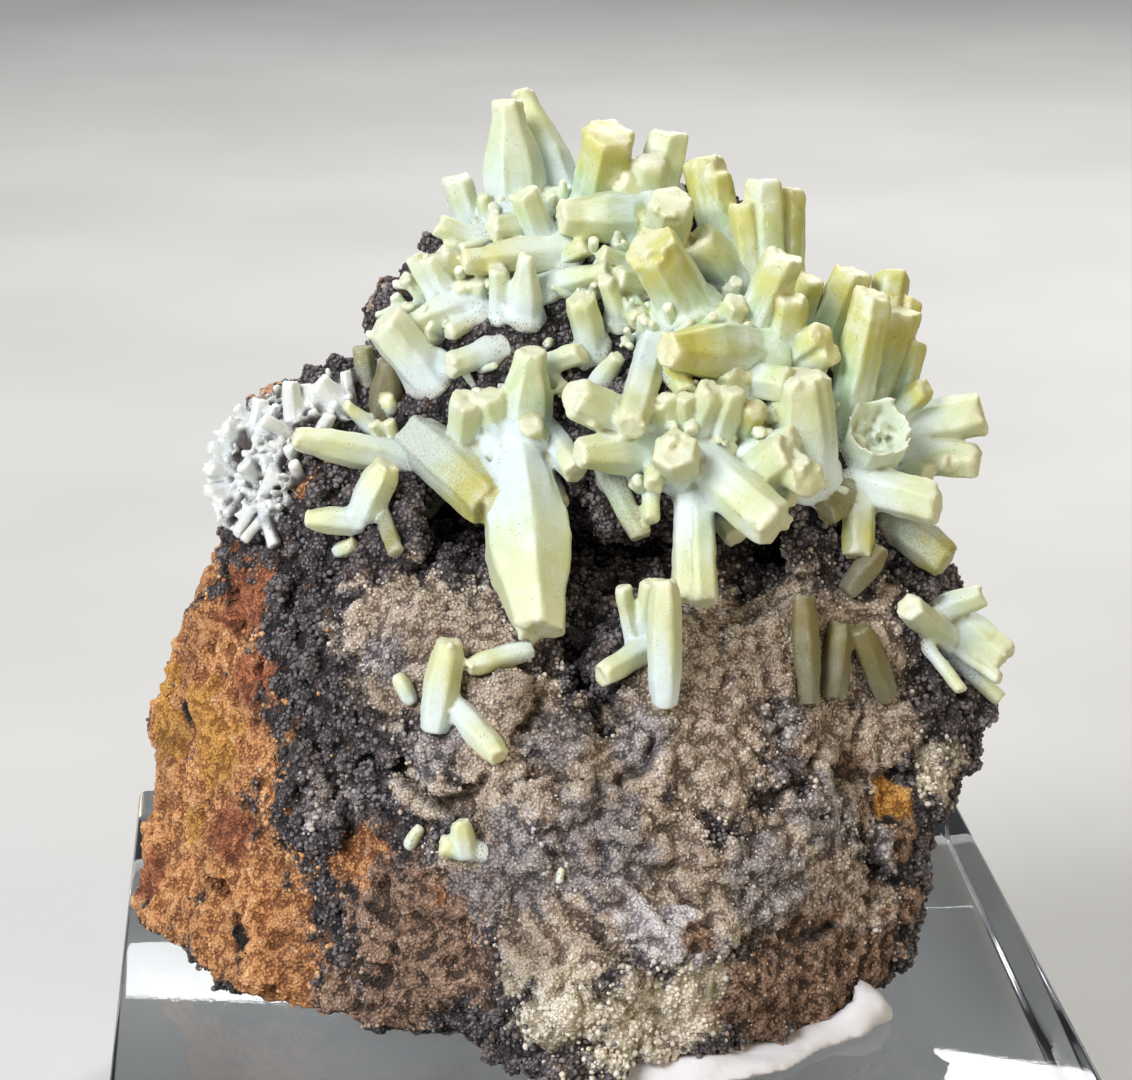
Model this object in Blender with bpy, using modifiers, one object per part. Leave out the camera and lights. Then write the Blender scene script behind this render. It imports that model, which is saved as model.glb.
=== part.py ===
"""A plumbogummite specimen: blunt hexagonal crystals on limonite matrix, on a clear display block.

Metres, +Z up. The origin is the centre of the block's underside, and -Y faces the viewer.
Run with: blender --background --python part.py
"""

import math
from collections import Counter
from dataclasses import dataclass

import bmesh
import bpy
from mathutils import Matrix, Vector, noise
from mathutils.bvhtree import BVHTree

MM = 0.001

# Driving dimensions, as real sizes
BASE_SIDE = 38.1 * MM
BASE_THICKNESS = 12.7 * MM
BASE_EDGE = 0.35 * MM
ROCK_FLOOR = 13.25 * MM
TOUCH_GAP = 0.05 * MM
FOOT_DEPTH = 0.9 * MM

# How far behind the origin the far side is looked at from, in millimetres
FAR_EYE_DEPTH = 100.0

# How finely the stone is worked, as real sizes
ROCK_GRAIN = 0.6 * MM
ROCK_SMOOTHING = 3
ROCK_TRIANGLES = 2100

# The stone's broken steps and its lumps: size, height and where in the noise they are read
ROCK_LEDGES = (5.0 * MM, 0.45 * MM, 3.0)
ROCK_LUMPS = ((5.5 * MM, 0.75 * MM, 1.0), (1.8 * MM, 0.3 * MM, 2.0))
LEDGE_LEVELS = 7.0
LEDGE_EDGE = 4.0
LEDGE_GROOVE = 0.5

# How finely the putty is worked, and its soft folds
PUTTY_GRAIN = 0.5 * MM
PUTTY_SMOOTHING = 2
PUTTY_TRIANGLES = 220
PUTTY_FOLDS = (3.0 * MM, 0.25 * MM, 5.0)

# What joining and cutting may leave: slivers to weld, flat edges to drop and lost volume
WELDS = (0.002 * MM, 0.004 * MM, 0.008 * MM, 0.015 * MM, 0.03 * MM)
FLAT_ANGLE = math.radians(1.0)
VOLUME_SLACK = 0.001

# The photograph's eye, which turns places read in its 1132 by 1080 frame into real places
EYE = Vector((-11.3, -132.0, 70.2)) * MM
EYE_PITCH = math.radians(16.8)
EYE_HEADING = math.radians(4.7)
FOCAL_PIXELS = 3400.0
FRAME_CENTRE = (566.0, 540.0)
FOCUS_DISTANCE = 138.1 * MM
PIXEL_SIZE = FOCUS_DISTANCE / FOCAL_PIXELS / MM

# How far a crystal's middle line stands off the stone, as a share of its half width
LYING_LIFT = 0.35
GROWING_LIFT = 0.7

# A foot beside the stone is looked for in steps towards this place in the frame
STONE_MIDDLE = (620.0, 560.0)
FOOT_STEPS = 12
FOOT_STEP = 0.02

# A crystal with a tip share above this is straight sided, and one up to this many pixels wide is small
STRAIGHT_SHARE = 0.8
SMALL_WIDTH = 26

# Crystals of more than this many clusters, grown together, are the summit's
WIDE_GROUP = 3

# A hexagonal crystal: corner to corner it is wider than it looks on average
SIDES = 6
CORNER_GAIN = math.pi / 3.0
SHOULDER_OF_RADIUS = 0.5
SHOULDER_OF_LENGTH = 0.2
END_TILT = 0.25
END_START = 0.9
TILT_TURN = 2.1
ROLL_TURN = 0.7

# The broken crystal's bowl, as shares of its radius
BOWL_REACH = 0.68
BOWL_LIFT = 0.12
BOWL_LUMP = 0.5
BOWL_RAGGED = 0.18

FORWARD = Vector(
    (
        math.sin(EYE_HEADING) * math.cos(EYE_PITCH),
        math.cos(EYE_HEADING) * math.cos(EYE_PITCH),
        -math.sin(EYE_PITCH),
    )
)
RIGHTWARD = Vector((math.cos(EYE_HEADING), -math.sin(EYE_HEADING), 0.0))
UPWARD = RIGHTWARD.cross(FORWARD)


def sight(px, py):
    """The line of sight through a place in the frame, one unit deep."""
    across = (px - FRAME_CENTRE[0]) / FOCAL_PIXELS
    down = (py - FRAME_CENTRE[1]) / FOCAL_PIXELS
    return FORWARD + RIGHTWARD * across - UPWARD * down


def seen(px, py, near):
    """The point seen at a place in the frame, near millimetres in front of the plane in focus."""
    return EYE + sight(px, py) * (FOCUS_DISTANCE - near * MM)


# The stone, as overlapping lumps. Seen corners are (px, py, millimetres nearer than the focus),
# and the far corners, which the photograph hides, are plain (x, y, z) in millimetres.
BODY_SEEN = [
    (132, 850, -5.5), (146, 928, -3.8), (196, 976, -1.2), (240, 1012, 2.2), (300, 1012, 3.2),
    (350, 1030, 4.6), (430, 1048, 6.8), (540, 1072, 9.0), (620, 1076, 9.4), (700, 1076, 8.5),
    (765, 1046, 6.8), (870, 1016, 3.0), (905, 976, 1.2), (905, 920, 0.2), (934, 850, -1.4),
    (956, 775, -2.4), (984, 694, -3.0), (976, 650, -3.0), (938, 574, -2.4), (143, 740, -5.0),
    (159, 680, -4.2), (181, 630, -3.2), (213, 520, -1.2), (245, 540, 0.6), (270, 640, 1.4),
    (298, 800, 2.2), (320, 940, 3.4), (350, 640, 4.0), (450, 640, 5.4), (450, 850, 7.4),
    (600, 800, 8.2), (700, 640, 5.6), (710, 850, 7.6), (775, 700, 3.0), (860, 800, 1.2),
    (800, 920, 4.6),
]
BODY_FAR = [
    (-16.0, 8.0, 14.5), (-9.0, 12.0, 13.8), (6.0, 12.5, 13.8), (13.5, 9.0, 14.5), (16.5, 8.0, 22.0),
    (14.5, 9.0, 29.0), (-15.0, 8.5, 24.0), (-8.0, 12.0, 29.0), (7.0, 12.0, 30.0),
]
LEFT_SHOULDER_SEEN = [
    (214, 520, -1.2), (210, 482, -1.6), (222, 434, -2.0), (254, 408, -2.0), (292, 396, -1.2),
    (345, 384, -0.6), (400, 400, 0.6), (430, 480, 2.6), (400, 570, 4.0), (300, 560, 2.0),
    (240, 520, 0.4),
]
LEFT_SHOULDER_FAR = [(-13.0, 7.5, 35.0), (-8.0, 9.0, 36.5), (-14.0, 8.0, 28.0), (-6.0, 10.0, 30.0)]
SUMMIT_SEEN = [
    (384, 336, -0.6), (402, 296, -0.8), (442, 256, -1.0), (482, 230, -1.0), (524, 210, -0.8),
    (572, 196, -0.8), (640, 178, -1.0), (700, 196, -1.2), (728, 214, -1.4), (756, 252, -1.2),
    (804, 304, -1.4), (842, 342, -1.4), (480, 340, 1.0), (560, 300, 1.2), (650, 300, 1.5),
    (740, 330, 1.4), (820, 400, 1.0), (600, 430, 3.4), (500, 450, 3.0), (700, 460, 3.8),
    (780, 490, 2.8), (430, 430, 1.6), (860, 480, 0.2), (640, 520, 3.8),
]
SUMMIT_FAR = [
    (-8.0, 10.0, 38.0), (-1.0, 10.5, 42.0), (5.0, 10.0, 42.0), (10.0, 9.0, 37.0), (13.5, 8.0, 32.0),
    (-8.0, 11.0, 28.0), (9.0, 11.0, 26.0),
]
RIGHT_SHOULDER_SEEN = [
    (846, 340, -1.4), (872, 396, -1.6), (900, 446, -2.0), (922, 510, -2.6), (934, 566, -2.8),
    (948, 596, -3.2), (974, 650, -3.4), (986, 692, -3.4), (860, 480, 0.2), (850, 600, 0.4),
    (780, 560, 2.4), (780, 490, 2.8), (860, 720, 0.8),
]
RIGHT_SHOULDER_FAR = [(13.5, 8.0, 32.0), (16.5, 6.0, 26.0), (14.5, 9.0, 22.0)]


@dataclass
class Relief:
    """A lump or a pit on the stone: its place in the frame, its radius and its height in millimetres."""

    name: str
    px: float
    py: float
    radius: float
    height: float

    def start(self):
        """Where its line of sight starts."""
        return EYE

    def line(self):
        """The line it is seen along."""
        return sight(self.px, self.py).normalized()


RELIEFS = [
    Relief("dark hollow", 612, 545, 2.6, -3.6),
    Relief("lower hollow", 575, 675, 2.4, -2.4),
    Relief("hollow throat", 600, 612, 1.4, -1.2),
    Relief("notch by the centre spray", 655, 545, 1.6, -1.4),
    Relief("hollow under the white druse", 262, 470, 1.4, -1.0),
    Relief("cleft under the upper left barrels", 440, 345, 1.6, -1.0),
    Relief("pit above the left ledge", 335, 560, 1.8, -1.2),
    Relief("pit on the left front", 375, 775, 1.6, -1.1),
    Relief("small pit", 480, 842, 1.0, -0.9),
    Relief("furrow in the front", 690, 690, 1.3, -0.9),
    Relief("right hollow under the rim", 900, 560, 1.6, -1.6),
    Relief("right hollow", 945, 665, 1.6, -1.4),
    Relief("grey step on the right", 830, 770, 1.7, -0.9),
    Relief("orange hollow", 890, 805, 1.3, -1.0),
    Relief("grey lump", 880, 845, 1.0, 0.9),
    Relief("cream lump", 940, 778, 1.3, 0.9),
    Relief("mauve lump", 560, 790, 1.9, 1.0),
    Relief("ledge lump", 500, 700, 1.6, 0.8),
    Relief("beige brow", 660, 745, 1.7, 0.9),
    Relief("front lump", 640, 850, 1.9, 0.8),
    Relief("left ledge", 420, 600, 2.0, 0.9),
    Relief("blue grey boss", 668, 935, 1.7, 1.1),
    Relief("brown boss", 410, 890, 1.7, 0.9),
    Relief("cream foot", 560, 1000, 2.0, 0.8),
    Relief("rust ledge", 810, 985, 1.8, 0.9),
    Relief("orange knuckle", 190, 870, 1.8, 0.9),
    Relief("orange chin", 260, 975, 1.5, 0.8),
    Relief("orange brow", 215, 640, 1.8, 0.7),
    Relief("druse knoll", 520, 325, 1.5, 0.9),
    Relief("druse saddle", 420, 410, 1.4, 0.6),
]


@dataclass
class FarRelief:
    """A lump or a pit on the far side, which the photograph hides: x, z, radius and height in mm."""

    name: str
    x: float
    z: float
    radius: float
    height: float

    def start(self):
        """A point well behind the stone."""
        return Vector((self.x, FAR_EYE_DEPTH, self.z)) * MM

    def line(self):
        """The line it is seen along from behind."""
        return Vector((0.0, -1.0, 0.0))


FAR_RELIEFS = [
    FarRelief("far ledge", -7.0, 22.0, 4.2, 1.3),
    FarRelief("far hollow", 4.0, 27.0, 4.6, -1.6),
    FarRelief("far knuckle", 9.5, 19.0, 3.4, 1.1),
    FarRelief("far pit", -3.0, 33.0, 3.0, -1.3),
    FarRelief("far brow", 3.0, 38.5, 3.2, 0.9),
    FarRelief("far chin", 0.5, 16.5, 3.6, 0.9),
    FarRelief("far notch", -12.0, 29.0, 2.8, -1.1),
    FarRelief("far step", 12.5, 28.5, 2.8, -0.9),
]


@dataclass
class Crystal:
    """One crystal: foot and tip in the frame, width in pixels, and how much nearer its tip is, in mm."""

    foot: tuple
    tip: tuple
    wide: float
    rise: float = 0.6
    foot_share: float = 0.78
    tip_share: float = 0.66
    belly: float = 0.5
    lying: bool = False
    hollow: bool = False


def spire(foot, tip, wide, rise=0.4):
    """A crystal that tapers to a narrow blunt end."""
    return Crystal(foot, tip, wide, rise, foot_share=0.85, tip_share=0.5, belly=0.42)


def prism(foot, tip, wide, rise=0.6):
    """A straight sided crystal with a full flat end."""
    return Crystal(foot, tip, wide, rise, foot_share=0.96, tip_share=0.96)


def resting(foot, tip, wide, rise=0.0):
    """A crystal with two finished ends that lies along the stone."""
    return Crystal(foot, tip, wide, rise, foot_share=0.7, tip_share=0.7, lying=True)


CLUSTERS = {
    "crown": [
        spire((517, 212), (507, 102), 60, 0.6),
        spire((560, 196), (522, 91), 48, -0.4),
        prism((596, 200), (609, 132), 54, 2.3),
        prism((508, 214), (512, 182), 21, 0.8),
        prism((542, 240), (524, 191), 31, 1.0),
        prism((574, 198), (543, 198), 25, 0.3),
        prism((472, 230), (456, 177), 32, 0.4),
        prism((488, 226), (483, 194), 15, 0.4),
        prism((478, 242), (437, 224), 26, 0.3),
        prism((474, 247), (444, 251), 18, 0.4),
        prism((655, 192), (669, 132), 43, 0.2),
        prism((648, 198), (650, 160), 37, 1.0),
        prism((652, 206), (620, 182), 24, 0.5),
    ],
    "upper_left": [
        Crystal((562, 252), (464, 262), 41, 0.9),
        prism((530, 226), (490, 228), 30, 0.5),
        spire((525, 314), (527, 257), 35, 1.2),
        prism((501, 314), (499, 268), 21, 0.8),
        prism((477, 302), (477, 280), 20, 0.6),
        prism((463, 302), (463, 284), 18, 0.5),
        prism((440, 300), (415, 255), 25, 0.2),
        prism((448, 298), (429, 257), 25, 0.4),
        prism((467, 272), (438, 257), 30, 0.3),
        Crystal((464, 303), (405, 326), 32, 0.7),
        prism((477, 316), (448, 333), 20, 0.5),
        prism((487, 353), (449, 366), 28, 0.7),
        prism((427, 374), (384, 320), 46, 0.5),
    ],
    "upper_middle": [
        Crystal((640, 217), (560, 218), 56, 0.9),
        prism((628, 266), (600, 254), 23, 0.6),
        prism((551, 264), (588, 246), 22, 0.6),
        Crystal((545, 288), (609, 271), 30, 0.8),
        prism((591, 350), (580, 297), 32, 1.0),
        Crystal((621, 318), (606, 279), 27, 0.9),
        prism((628, 300), (641, 322), 24, 0.7),
        prism((652, 282), (615, 280), 31, 0.7),
        prism((688, 308), (650, 245), 57, 2.0),
        prism((664, 252), (671, 200), 47, 2.2),
        prism((641, 247), (640, 215), 22, 0.6),
        prism((737, 282), (694, 240), 45, 0.5),
        Crystal((752, 352), (666, 350), 62, 1.0, foot_share=0.7, tip_share=0.62),
        prism((722, 332), (738, 302), 29, 1.2),
        prism((670, 370), (687, 394), 22, 0.8),
    ],
    "upper_right": [
        prism((722, 246), (702, 158), 42, 0.3),
        prism((726, 242), (716, 172), 31, 0.9),
        prism((754, 300), (743, 204), 30, 0.4),
        prism((768, 302), (763, 180), 40, 0.6),
        prism((785, 300), (789, 190), 36, 0.2),
        prism((752, 328), (785, 256), 43, 1.2),
        prism((800, 322), (812, 278), 31, 0.7),
        prism((783, 354), (790, 296), 38, 1.2),
        prism((788, 362), (823, 333), 30, 1.4),
        prism((792, 368), (833, 352), 28, 1.3),
    ],
    "east_fan": [
        prism((822, 347), (854, 271), 45, 0.6),
        prism((880, 332), (893, 275), 37, -0.6),
        prism((895, 350), (911, 299), 28, -0.2),
        prism((845, 428), (873, 293), 44, 1.4),
        prism((868, 402), (899, 311), 46, 1.0),
        prism((856, 384), (867, 325), 25, 1.6),
        prism((903, 390), (916, 341), 26, 0.4),
        prism((903, 408), (926, 387), 27, 0.6),
    ],
    "east_spray": [
        Crystal((905, 430), (982, 413), 47, 0.4, foot_share=0.65, tip_share=0.96),
        prism((905, 456), (978, 461), 38, 0.8),
        prism((908, 462), (949, 463), 20, 1.4),
        Crystal((868, 448), (882, 424), 68, 2.2, foot_share=0.9, tip_share=0.96, hollow=True),
        prism((860, 470), (858, 557), 34, 0.9),
        prism((862, 484), (938, 504), 44, 1.0),
        prism((900, 462), (930, 476), 22, 1.3),
        Crystal((806, 470), (800, 374), 64, 1.2, foot_share=0.8, tip_share=0.8),
        prism((850, 488), (824, 513), 32, 0.9),
        prism((895, 522), (947, 562), 40, 0.6),
    ],
    "centre_spray": [
        prism((745, 378), (793, 385), 40, 1.0),
        prism((738, 400), (724, 366), 36, 0.9),
        prism((746, 394), (742, 375), 18, 0.9),
        prism((696, 432), (713, 388), 31, 1.2),
        prism((716, 450), (735, 390), 28, 1.4),
        prism((742, 432), (758, 408), 26, 1.5),
        prism((675, 440), (667, 395), 18, 1.0),
        prism((683, 440), (685, 395), 18, 1.0),
        prism((660, 437), (658, 403), 19, 0.9),
        prism((656, 338), (630, 428), 35, 1.4),
        prism((640, 428), (574, 397), 42, 1.6),
        prism((622, 430), (590, 420), 15, 1.6),
        Crystal((652, 452), (578, 453), 45, 1.6),
        prism((680, 470), (675, 449), 48, 2.6),
        prism((656, 456), (654, 486), 21, 1.6),
        prism((700, 462), (776, 526), 54, 2.2),
        prism((716, 512), (736, 539), 24, 1.0),
        prism((688, 486), (685, 600), 28, 1.2),
        prism((698, 486), (704, 603), 32, 1.4),
        prism((735, 488), (790, 452), 44, 1.8),
        prism((735, 462), (797, 436), 28, 0.9),
        prism((770, 488), (794, 501), 19, 0.8),
        prism((770, 458), (810, 479), 44, 2.4),
        prism((612, 482), (642, 537), 26, 0.6),
        prism((650, 480), (651, 521), 19, 0.9),
    ],
    "west_spray": [
        Crystal((522, 440), (530, 351), 54, 1.4, foot_share=0.9, tip_share=0.6),
        prism((504, 440), (487, 394), 34, 1.2),
        prism((538, 368), (582, 352), 24, 1.0),
        prism((540, 460), (532, 424), 26, 1.6),
        prism((546, 376), (565, 391), 18, 0.9),
        prism((550, 436), (577, 472), 29, 1.4),
        prism((548, 478), (560, 505), 22, 1.0),
        prism((462, 456), (467, 398), 34, 1.2),
        prism((428, 446), (492, 505), 54, 2.4),
        Crystal((518, 448), (540, 630), 92, 4.2, foot_share=0.5, tip_share=0.62, belly=0.62),
    ],
    "single": [
        Crystal((601, 380), (618, 356), 25, 0.8),
        resting((545, 348), (551, 337), 10),
    ],
    "left_shoulder": [
        Crystal((402, 460), (294, 438), 36, 0.9),
        resting((362, 518), (388, 464), 38, 0.8),
        resting((366, 523), (306, 518), 26),
        resting((336, 552), (356, 545), 18),
        prism((383, 513), (396, 554), 17, 0.5),
        prism((441, 495), (425, 515), 14, 0.6),
        Crystal((386, 408), (389, 360), 32, 0.6),
        prism((368, 382), (362, 346), 21, 0.2),
        resting((393, 414), (386, 399), 14, 0.3),
        Crystal((372, 428), (345, 405), 17, 0.4),
        prism((380, 442), (373, 422), 15, 0.5),
        prism((396, 442), (388, 420), 14, 0.5),
    ],
    "lower_left": [
        resting((434, 732), (450, 641), 38, 0.4),
        resting((532, 649), (467, 668), 24),
        resting((413, 704), (396, 675), 18),
        resting((455, 706), (500, 758), 29),
        resting((467, 860), (460, 820), 24, 0.2),
        prism((470, 850), (440, 845), 24, 0.2),
        resting((407, 849), (421, 826), 14),
        resting((559, 884), (562, 866), 9),
    ],
    "lower_middle": [
        resting((664, 707), (665, 580), 35, 0.8),
        prism((654, 645), (601, 676), 28, 0.8),
        prism((634, 644), (622, 586), 18, 0.6),
        prism((642, 640), (652, 582), 22, 0.9),
    ],
    "right_trio": [
        resting((808, 705), (804, 596), 28),
        resting((831, 698), (841, 623), 30),
        resting((888, 699), (860, 628), 30),
        resting((845, 592), (882, 548), 28),
        resting((709, 998), (712, 978), 10),
    ],
    "right_edge": [
        prism((952, 644), (909, 607), 30, 1.2),
        prism((936, 610), (983, 595), 27, 0.2),
        prism((952, 618), (1004, 661), 44, 0.9),
        prism((962, 666), (1001, 700), 16, 0.4),
        prism((924, 642), (962, 692), 14, 0.9),
        prism((944, 640), (1000, 679), 14, 1.2),
    ],
}

# The tiny white crystals of the left shoulder, grown into one mat
WHITE_DRUSE = [
    prism((252, 420), (236, 407), 10, 0.2),
    prism((257, 428), (262, 400), 17, 0.3),
    prism((272, 420), (276, 404), 10, 0.3),
    prism((294, 424), (290, 381), 18, 0.4),
    prism((304, 412), (307, 384), 15, 0.1),
    prism((342, 404), (318, 382), 24, 0.3),
    prism((350, 398), (345, 371), 12, 0.0),
    prism((292, 434), (262, 419), 14, 0.6),
    prism((262, 458), (285, 437), 10, 0.6),
    prism((296, 460), (288, 447), 13, 0.6),
    prism((228, 452), (208, 447), 15, 0.2),
    prism((258, 480), (244, 462), 19, 0.6),
    prism((264, 498), (276, 469), 17, 0.7),
    prism((226, 474), (209, 468), 16, 0.3),
    prism((222, 490), (206, 492), 15, 0.3),
    prism((240, 484), (213, 499), 12, 0.6),
    prism((236, 506), (225, 515), 10, 0.5),
    prism((262, 498), (236, 534), 12, 0.8),
    prism((264, 516), (244, 540), 9, 0.7),
    prism((268, 522), (275, 547), 15, 0.5),
    prism((240, 440), (226, 428), 13, 0.3),
    prism((232, 462), (222, 456), 12, 0.4),
    prism((320, 432), (330, 414), 13, 0.4),
    prism((340, 418), (333, 403), 9, 0.4),
    prism((300, 476), (293, 462), 12, 0.5),
    prism((408, 446), (401, 432), 10, 0.5),
]

# The low white lumps under them: place in the frame, width in pixels and thickness as a share
WHITE_LUMPS = [
    (236, 436, 56, 0.6), (272, 432, 54, 0.6), (312, 414, 64, 0.55), (222, 474, 52, 0.6),
    (250, 488, 54, 0.55), (276, 464, 46, 0.5), (226, 506, 44, 0.5), (254, 518, 40, 0.5),
]

# The putty blob under the stone: centre, reach along X and Y, and height, in millimetres
PUTTY_LUMPS = [
    ((0.0, -3.0), (9.0, 7.5), 1.3),
    ((2.6, -10.6), (6.6, 4.7), 1.15),
    ((7.6, -9.4), (3.8, 2.9), 1.35),
    ((10.2, -9.2), (1.7, 1.6), 1.9),
    ((-3.5, 3.5), (7.0, 5.0), 1.3),
    ((5.5, 2.5), (6.0, 5.0), 1.3),
]


def clear_scene():
    """Empty the file of objects, meshes and materials."""
    for thing in list(bpy.data.objects):
        bpy.data.objects.remove(thing)
    for store in (bpy.data.meshes, bpy.data.materials, bpy.data.collections):
        for block in list(store):
            store.remove(block)


def material(name, colour, roughness, transmission=0.0, ior=1.5):
    """A plain Principled material."""
    made = bpy.data.materials.new(name)
    made.use_nodes = True
    shader = made.node_tree.nodes["Principled BSDF"]
    shader.inputs["Base Color"].default_value = (*colour, 1.0)
    shader.inputs["Roughness"].default_value = roughness
    shader.inputs["Metallic"].default_value = 0.0
    shader.inputs["Transmission Weight"].default_value = transmission
    shader.inputs["IOR"].default_value = ior
    made.diffuse_color = (*colour, 1.0)
    return made


def new_object(name, mesh, collection):
    """Put a mesh in the scene under a name."""
    thing = bpy.data.objects.new(name, mesh)
    collection.objects.link(thing)
    return thing


def from_bmesh(name, work, collection):
    """Turn a working mesh into an object."""
    mesh = bpy.data.meshes.new(name)
    work.to_mesh(mesh)
    work.free()
    return new_object(name, mesh, collection)


def apply_modifiers(thing):
    """Replace an object's mesh by what its modifiers make of it."""
    bpy.context.view_layer.update()
    graph = bpy.context.evaluated_depsgraph_get()
    made = bpy.data.meshes.new_from_object(thing.evaluated_get(graph))
    old = thing.data
    thing.modifiers.clear()
    thing.data = made
    bpy.data.meshes.remove(old)


def hull(work, points):
    """Add the convex hull of some points to a working mesh."""
    corners = [work.verts.new(point) for point in points]
    made = bmesh.ops.convex_hull(work, input=corners)
    spare = [item for item in made["geom_interior"] if isinstance(item, bmesh.types.BMVert)]
    bmesh.ops.delete(work, geom=spare, context="VERTS")


def remesh(thing, grain, smooth):
    """Weld overlapping lumps into one even skin, and soften it."""
    skin = thing.modifiers.new("skin", "REMESH")
    skin.mode = "VOXEL"
    skin.voxel_size = grain
    if smooth:
        soften = thing.modifiers.new("soften", "SMOOTH")
        soften.factor = 0.5
        soften.iterations = smooth
    apply_modifiers(thing)


def thin_out(thing, triangles):
    """Collapse a mesh to about a number of triangles."""
    work = bmesh.new()
    work.from_mesh(thing.data)
    bmesh.ops.triangulate(work, faces=work.faces)
    count = len(work.faces)
    work.to_mesh(thing.data)
    work.free()
    fewer = thing.modifiers.new("fewer", "DECIMATE")
    fewer.ratio = min(1.0, triangles / count)
    apply_modifiers(thing)


def largest_body(work):
    """Delete all but the largest separate body of a working mesh."""
    unseen = set(work.verts)
    bodies = []
    while unseen:
        start = unseen.pop()
        body = {start}
        front = [start]
        while front:
            vert = front.pop()
            for edge in vert.link_edges:
                other = edge.other_vert(vert)
                if other in unseen:
                    unseen.discard(other)
                    body.add(other)
                    front.append(other)
        bodies.append(body)
    bodies.sort(key=body_reach, reverse=True)
    spare = [vert for body in bodies[1:] for vert in body]
    bmesh.ops.delete(work, geom=spare, context="VERTS")


def body_reach(body):
    """The diagonal of a body's box."""
    low = [min(vert.co[axis] for vert in body) for axis in range(3)]
    high = [max(vert.co[axis] for vert in body) for axis in range(3)]
    return (Vector(high) - Vector(low)).length


def volume(mesh):
    """The volume that a mesh closes in."""
    work = bmesh.new()
    work.from_mesh(mesh)
    amount = work.calc_volume(signed=True)
    work.free()
    return amount


def boolean(thing, operation, cutter):
    """Cut or join an object with another, and try the second solver where the first one fails."""
    before = thing.data.copy()
    own = volume(before)
    other = volume(cutter.data)
    low, high = (0.0, own) if operation == "DIFFERENCE" else (max(own, other), own + other)
    slack = own * VOLUME_SLACK
    for solver in ("EXACT", "MANIFOLD"):
        thing.data = before.copy()
        step = thing.modifiers.new("step", "BOOLEAN")
        step.operation = operation
        step.solver = solver
        step.object = cutter
        apply_modifiers(thing)
        if is_closed(thing.data) and low - slack <= volume(thing.data) <= high + slack:
            break
    bpy.data.meshes.remove(before)


def is_closed(mesh):
    """Whether every edge of a mesh joins just two faces."""
    work = bmesh.new()
    work.from_mesh(mesh)
    closed = all(edge.is_manifold for edge in work.edges)
    work.free()
    return closed


def tidied(mesh, weld, flatten):
    """A working copy of a mesh, its slivers welded and only its largest body kept."""
    work = bmesh.new()
    work.from_mesh(mesh)
    if flatten:
        bmesh.ops.dissolve_limit(work, angle_limit=FLAT_ANGLE, verts=work.verts, edges=work.edges)
    bmesh.ops.triangulate(work, faces=work.faces)
    bmesh.ops.remove_doubles(work, verts=work.verts, dist=weld)
    bmesh.ops.dissolve_degenerate(work, edges=work.edges, dist=weld * 0.5)
    bmesh.ops.triangulate(work, faces=work.faces)
    largest_body(work)
    bmesh.ops.recalc_face_normals(work, faces=work.faces)
    return work


def tidy_body(thing):
    """Make an object one closed body, with the gentlest tidy that closes it."""
    for flatten in (True, False):
        for weld in WELDS:
            work = tidied(thing.data, weld, flatten)
            closed = all(edge.is_manifold for edge in work.edges)
            if closed:
                work.to_mesh(thing.data)
            work.free()
            if closed:
                return


def surface_of(thing):
    """A search tree over an object's faces."""
    work = bmesh.new()
    work.from_mesh(thing.data)
    tree = BVHTree.FromBMesh(work)
    work.free()
    return tree


def roughen(work, size, height, seed):
    """Move a mesh's vertices along their normals by smooth noise."""
    shift = Vector((seed * 3.1, seed * 1.7, seed * 2.3))
    work.normal_update()
    moves = []
    for vert in work.verts:
        amount = noise.fractal(vert.co / size + shift, 1.0, 2.0, 3)
        moves.append(vert.normal * amount * height)
    for vert, move in zip(work.verts, moves):
        vert.co += move


def ledges(work, size, height, seed):
    """Break a mesh's surface into the flat steps of a broken stone."""
    shift = Vector((seed * 1.9, seed * 4.3, seed * 0.7))
    work.normal_update()
    moves = []
    for vert in work.verts:
        distances, places = noise.voronoi(vert.co / size + shift)
        step = noise.cell(places[0] * LEDGE_LEVELS)
        edge = min(1.0, (distances[1] - distances[0]) * LEDGE_EDGE)
        moves.append(vert.normal * (step * edge - (1.0 - edge) * LEDGE_GROOVE) * height)
    for vert, move in zip(work.verts, moves):
        vert.co += move


def apply_reliefs(work, reliefs):
    """Raise the named lumps and sink the named pits, each where its line meets the stone."""
    tree = BVHTree.FromBMesh(work)
    for relief in reliefs:
        line = relief.line()
        centre = tree.ray_cast(relief.start(), line)[0]
        reach = relief.radius * MM
        for vert in work.verts:
            away = (vert.co - centre).length
            if away < reach:
                fall = 0.5 + 0.5 * math.cos(math.pi * away / reach)
                vert.co -= line * relief.height * MM * fall


def flatten_floor(work, floor):
    """Press everything below the stone's floor flat."""
    for vert in work.verts:
        if vert.co.z < floor:
            vert.co.z = floor


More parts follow.
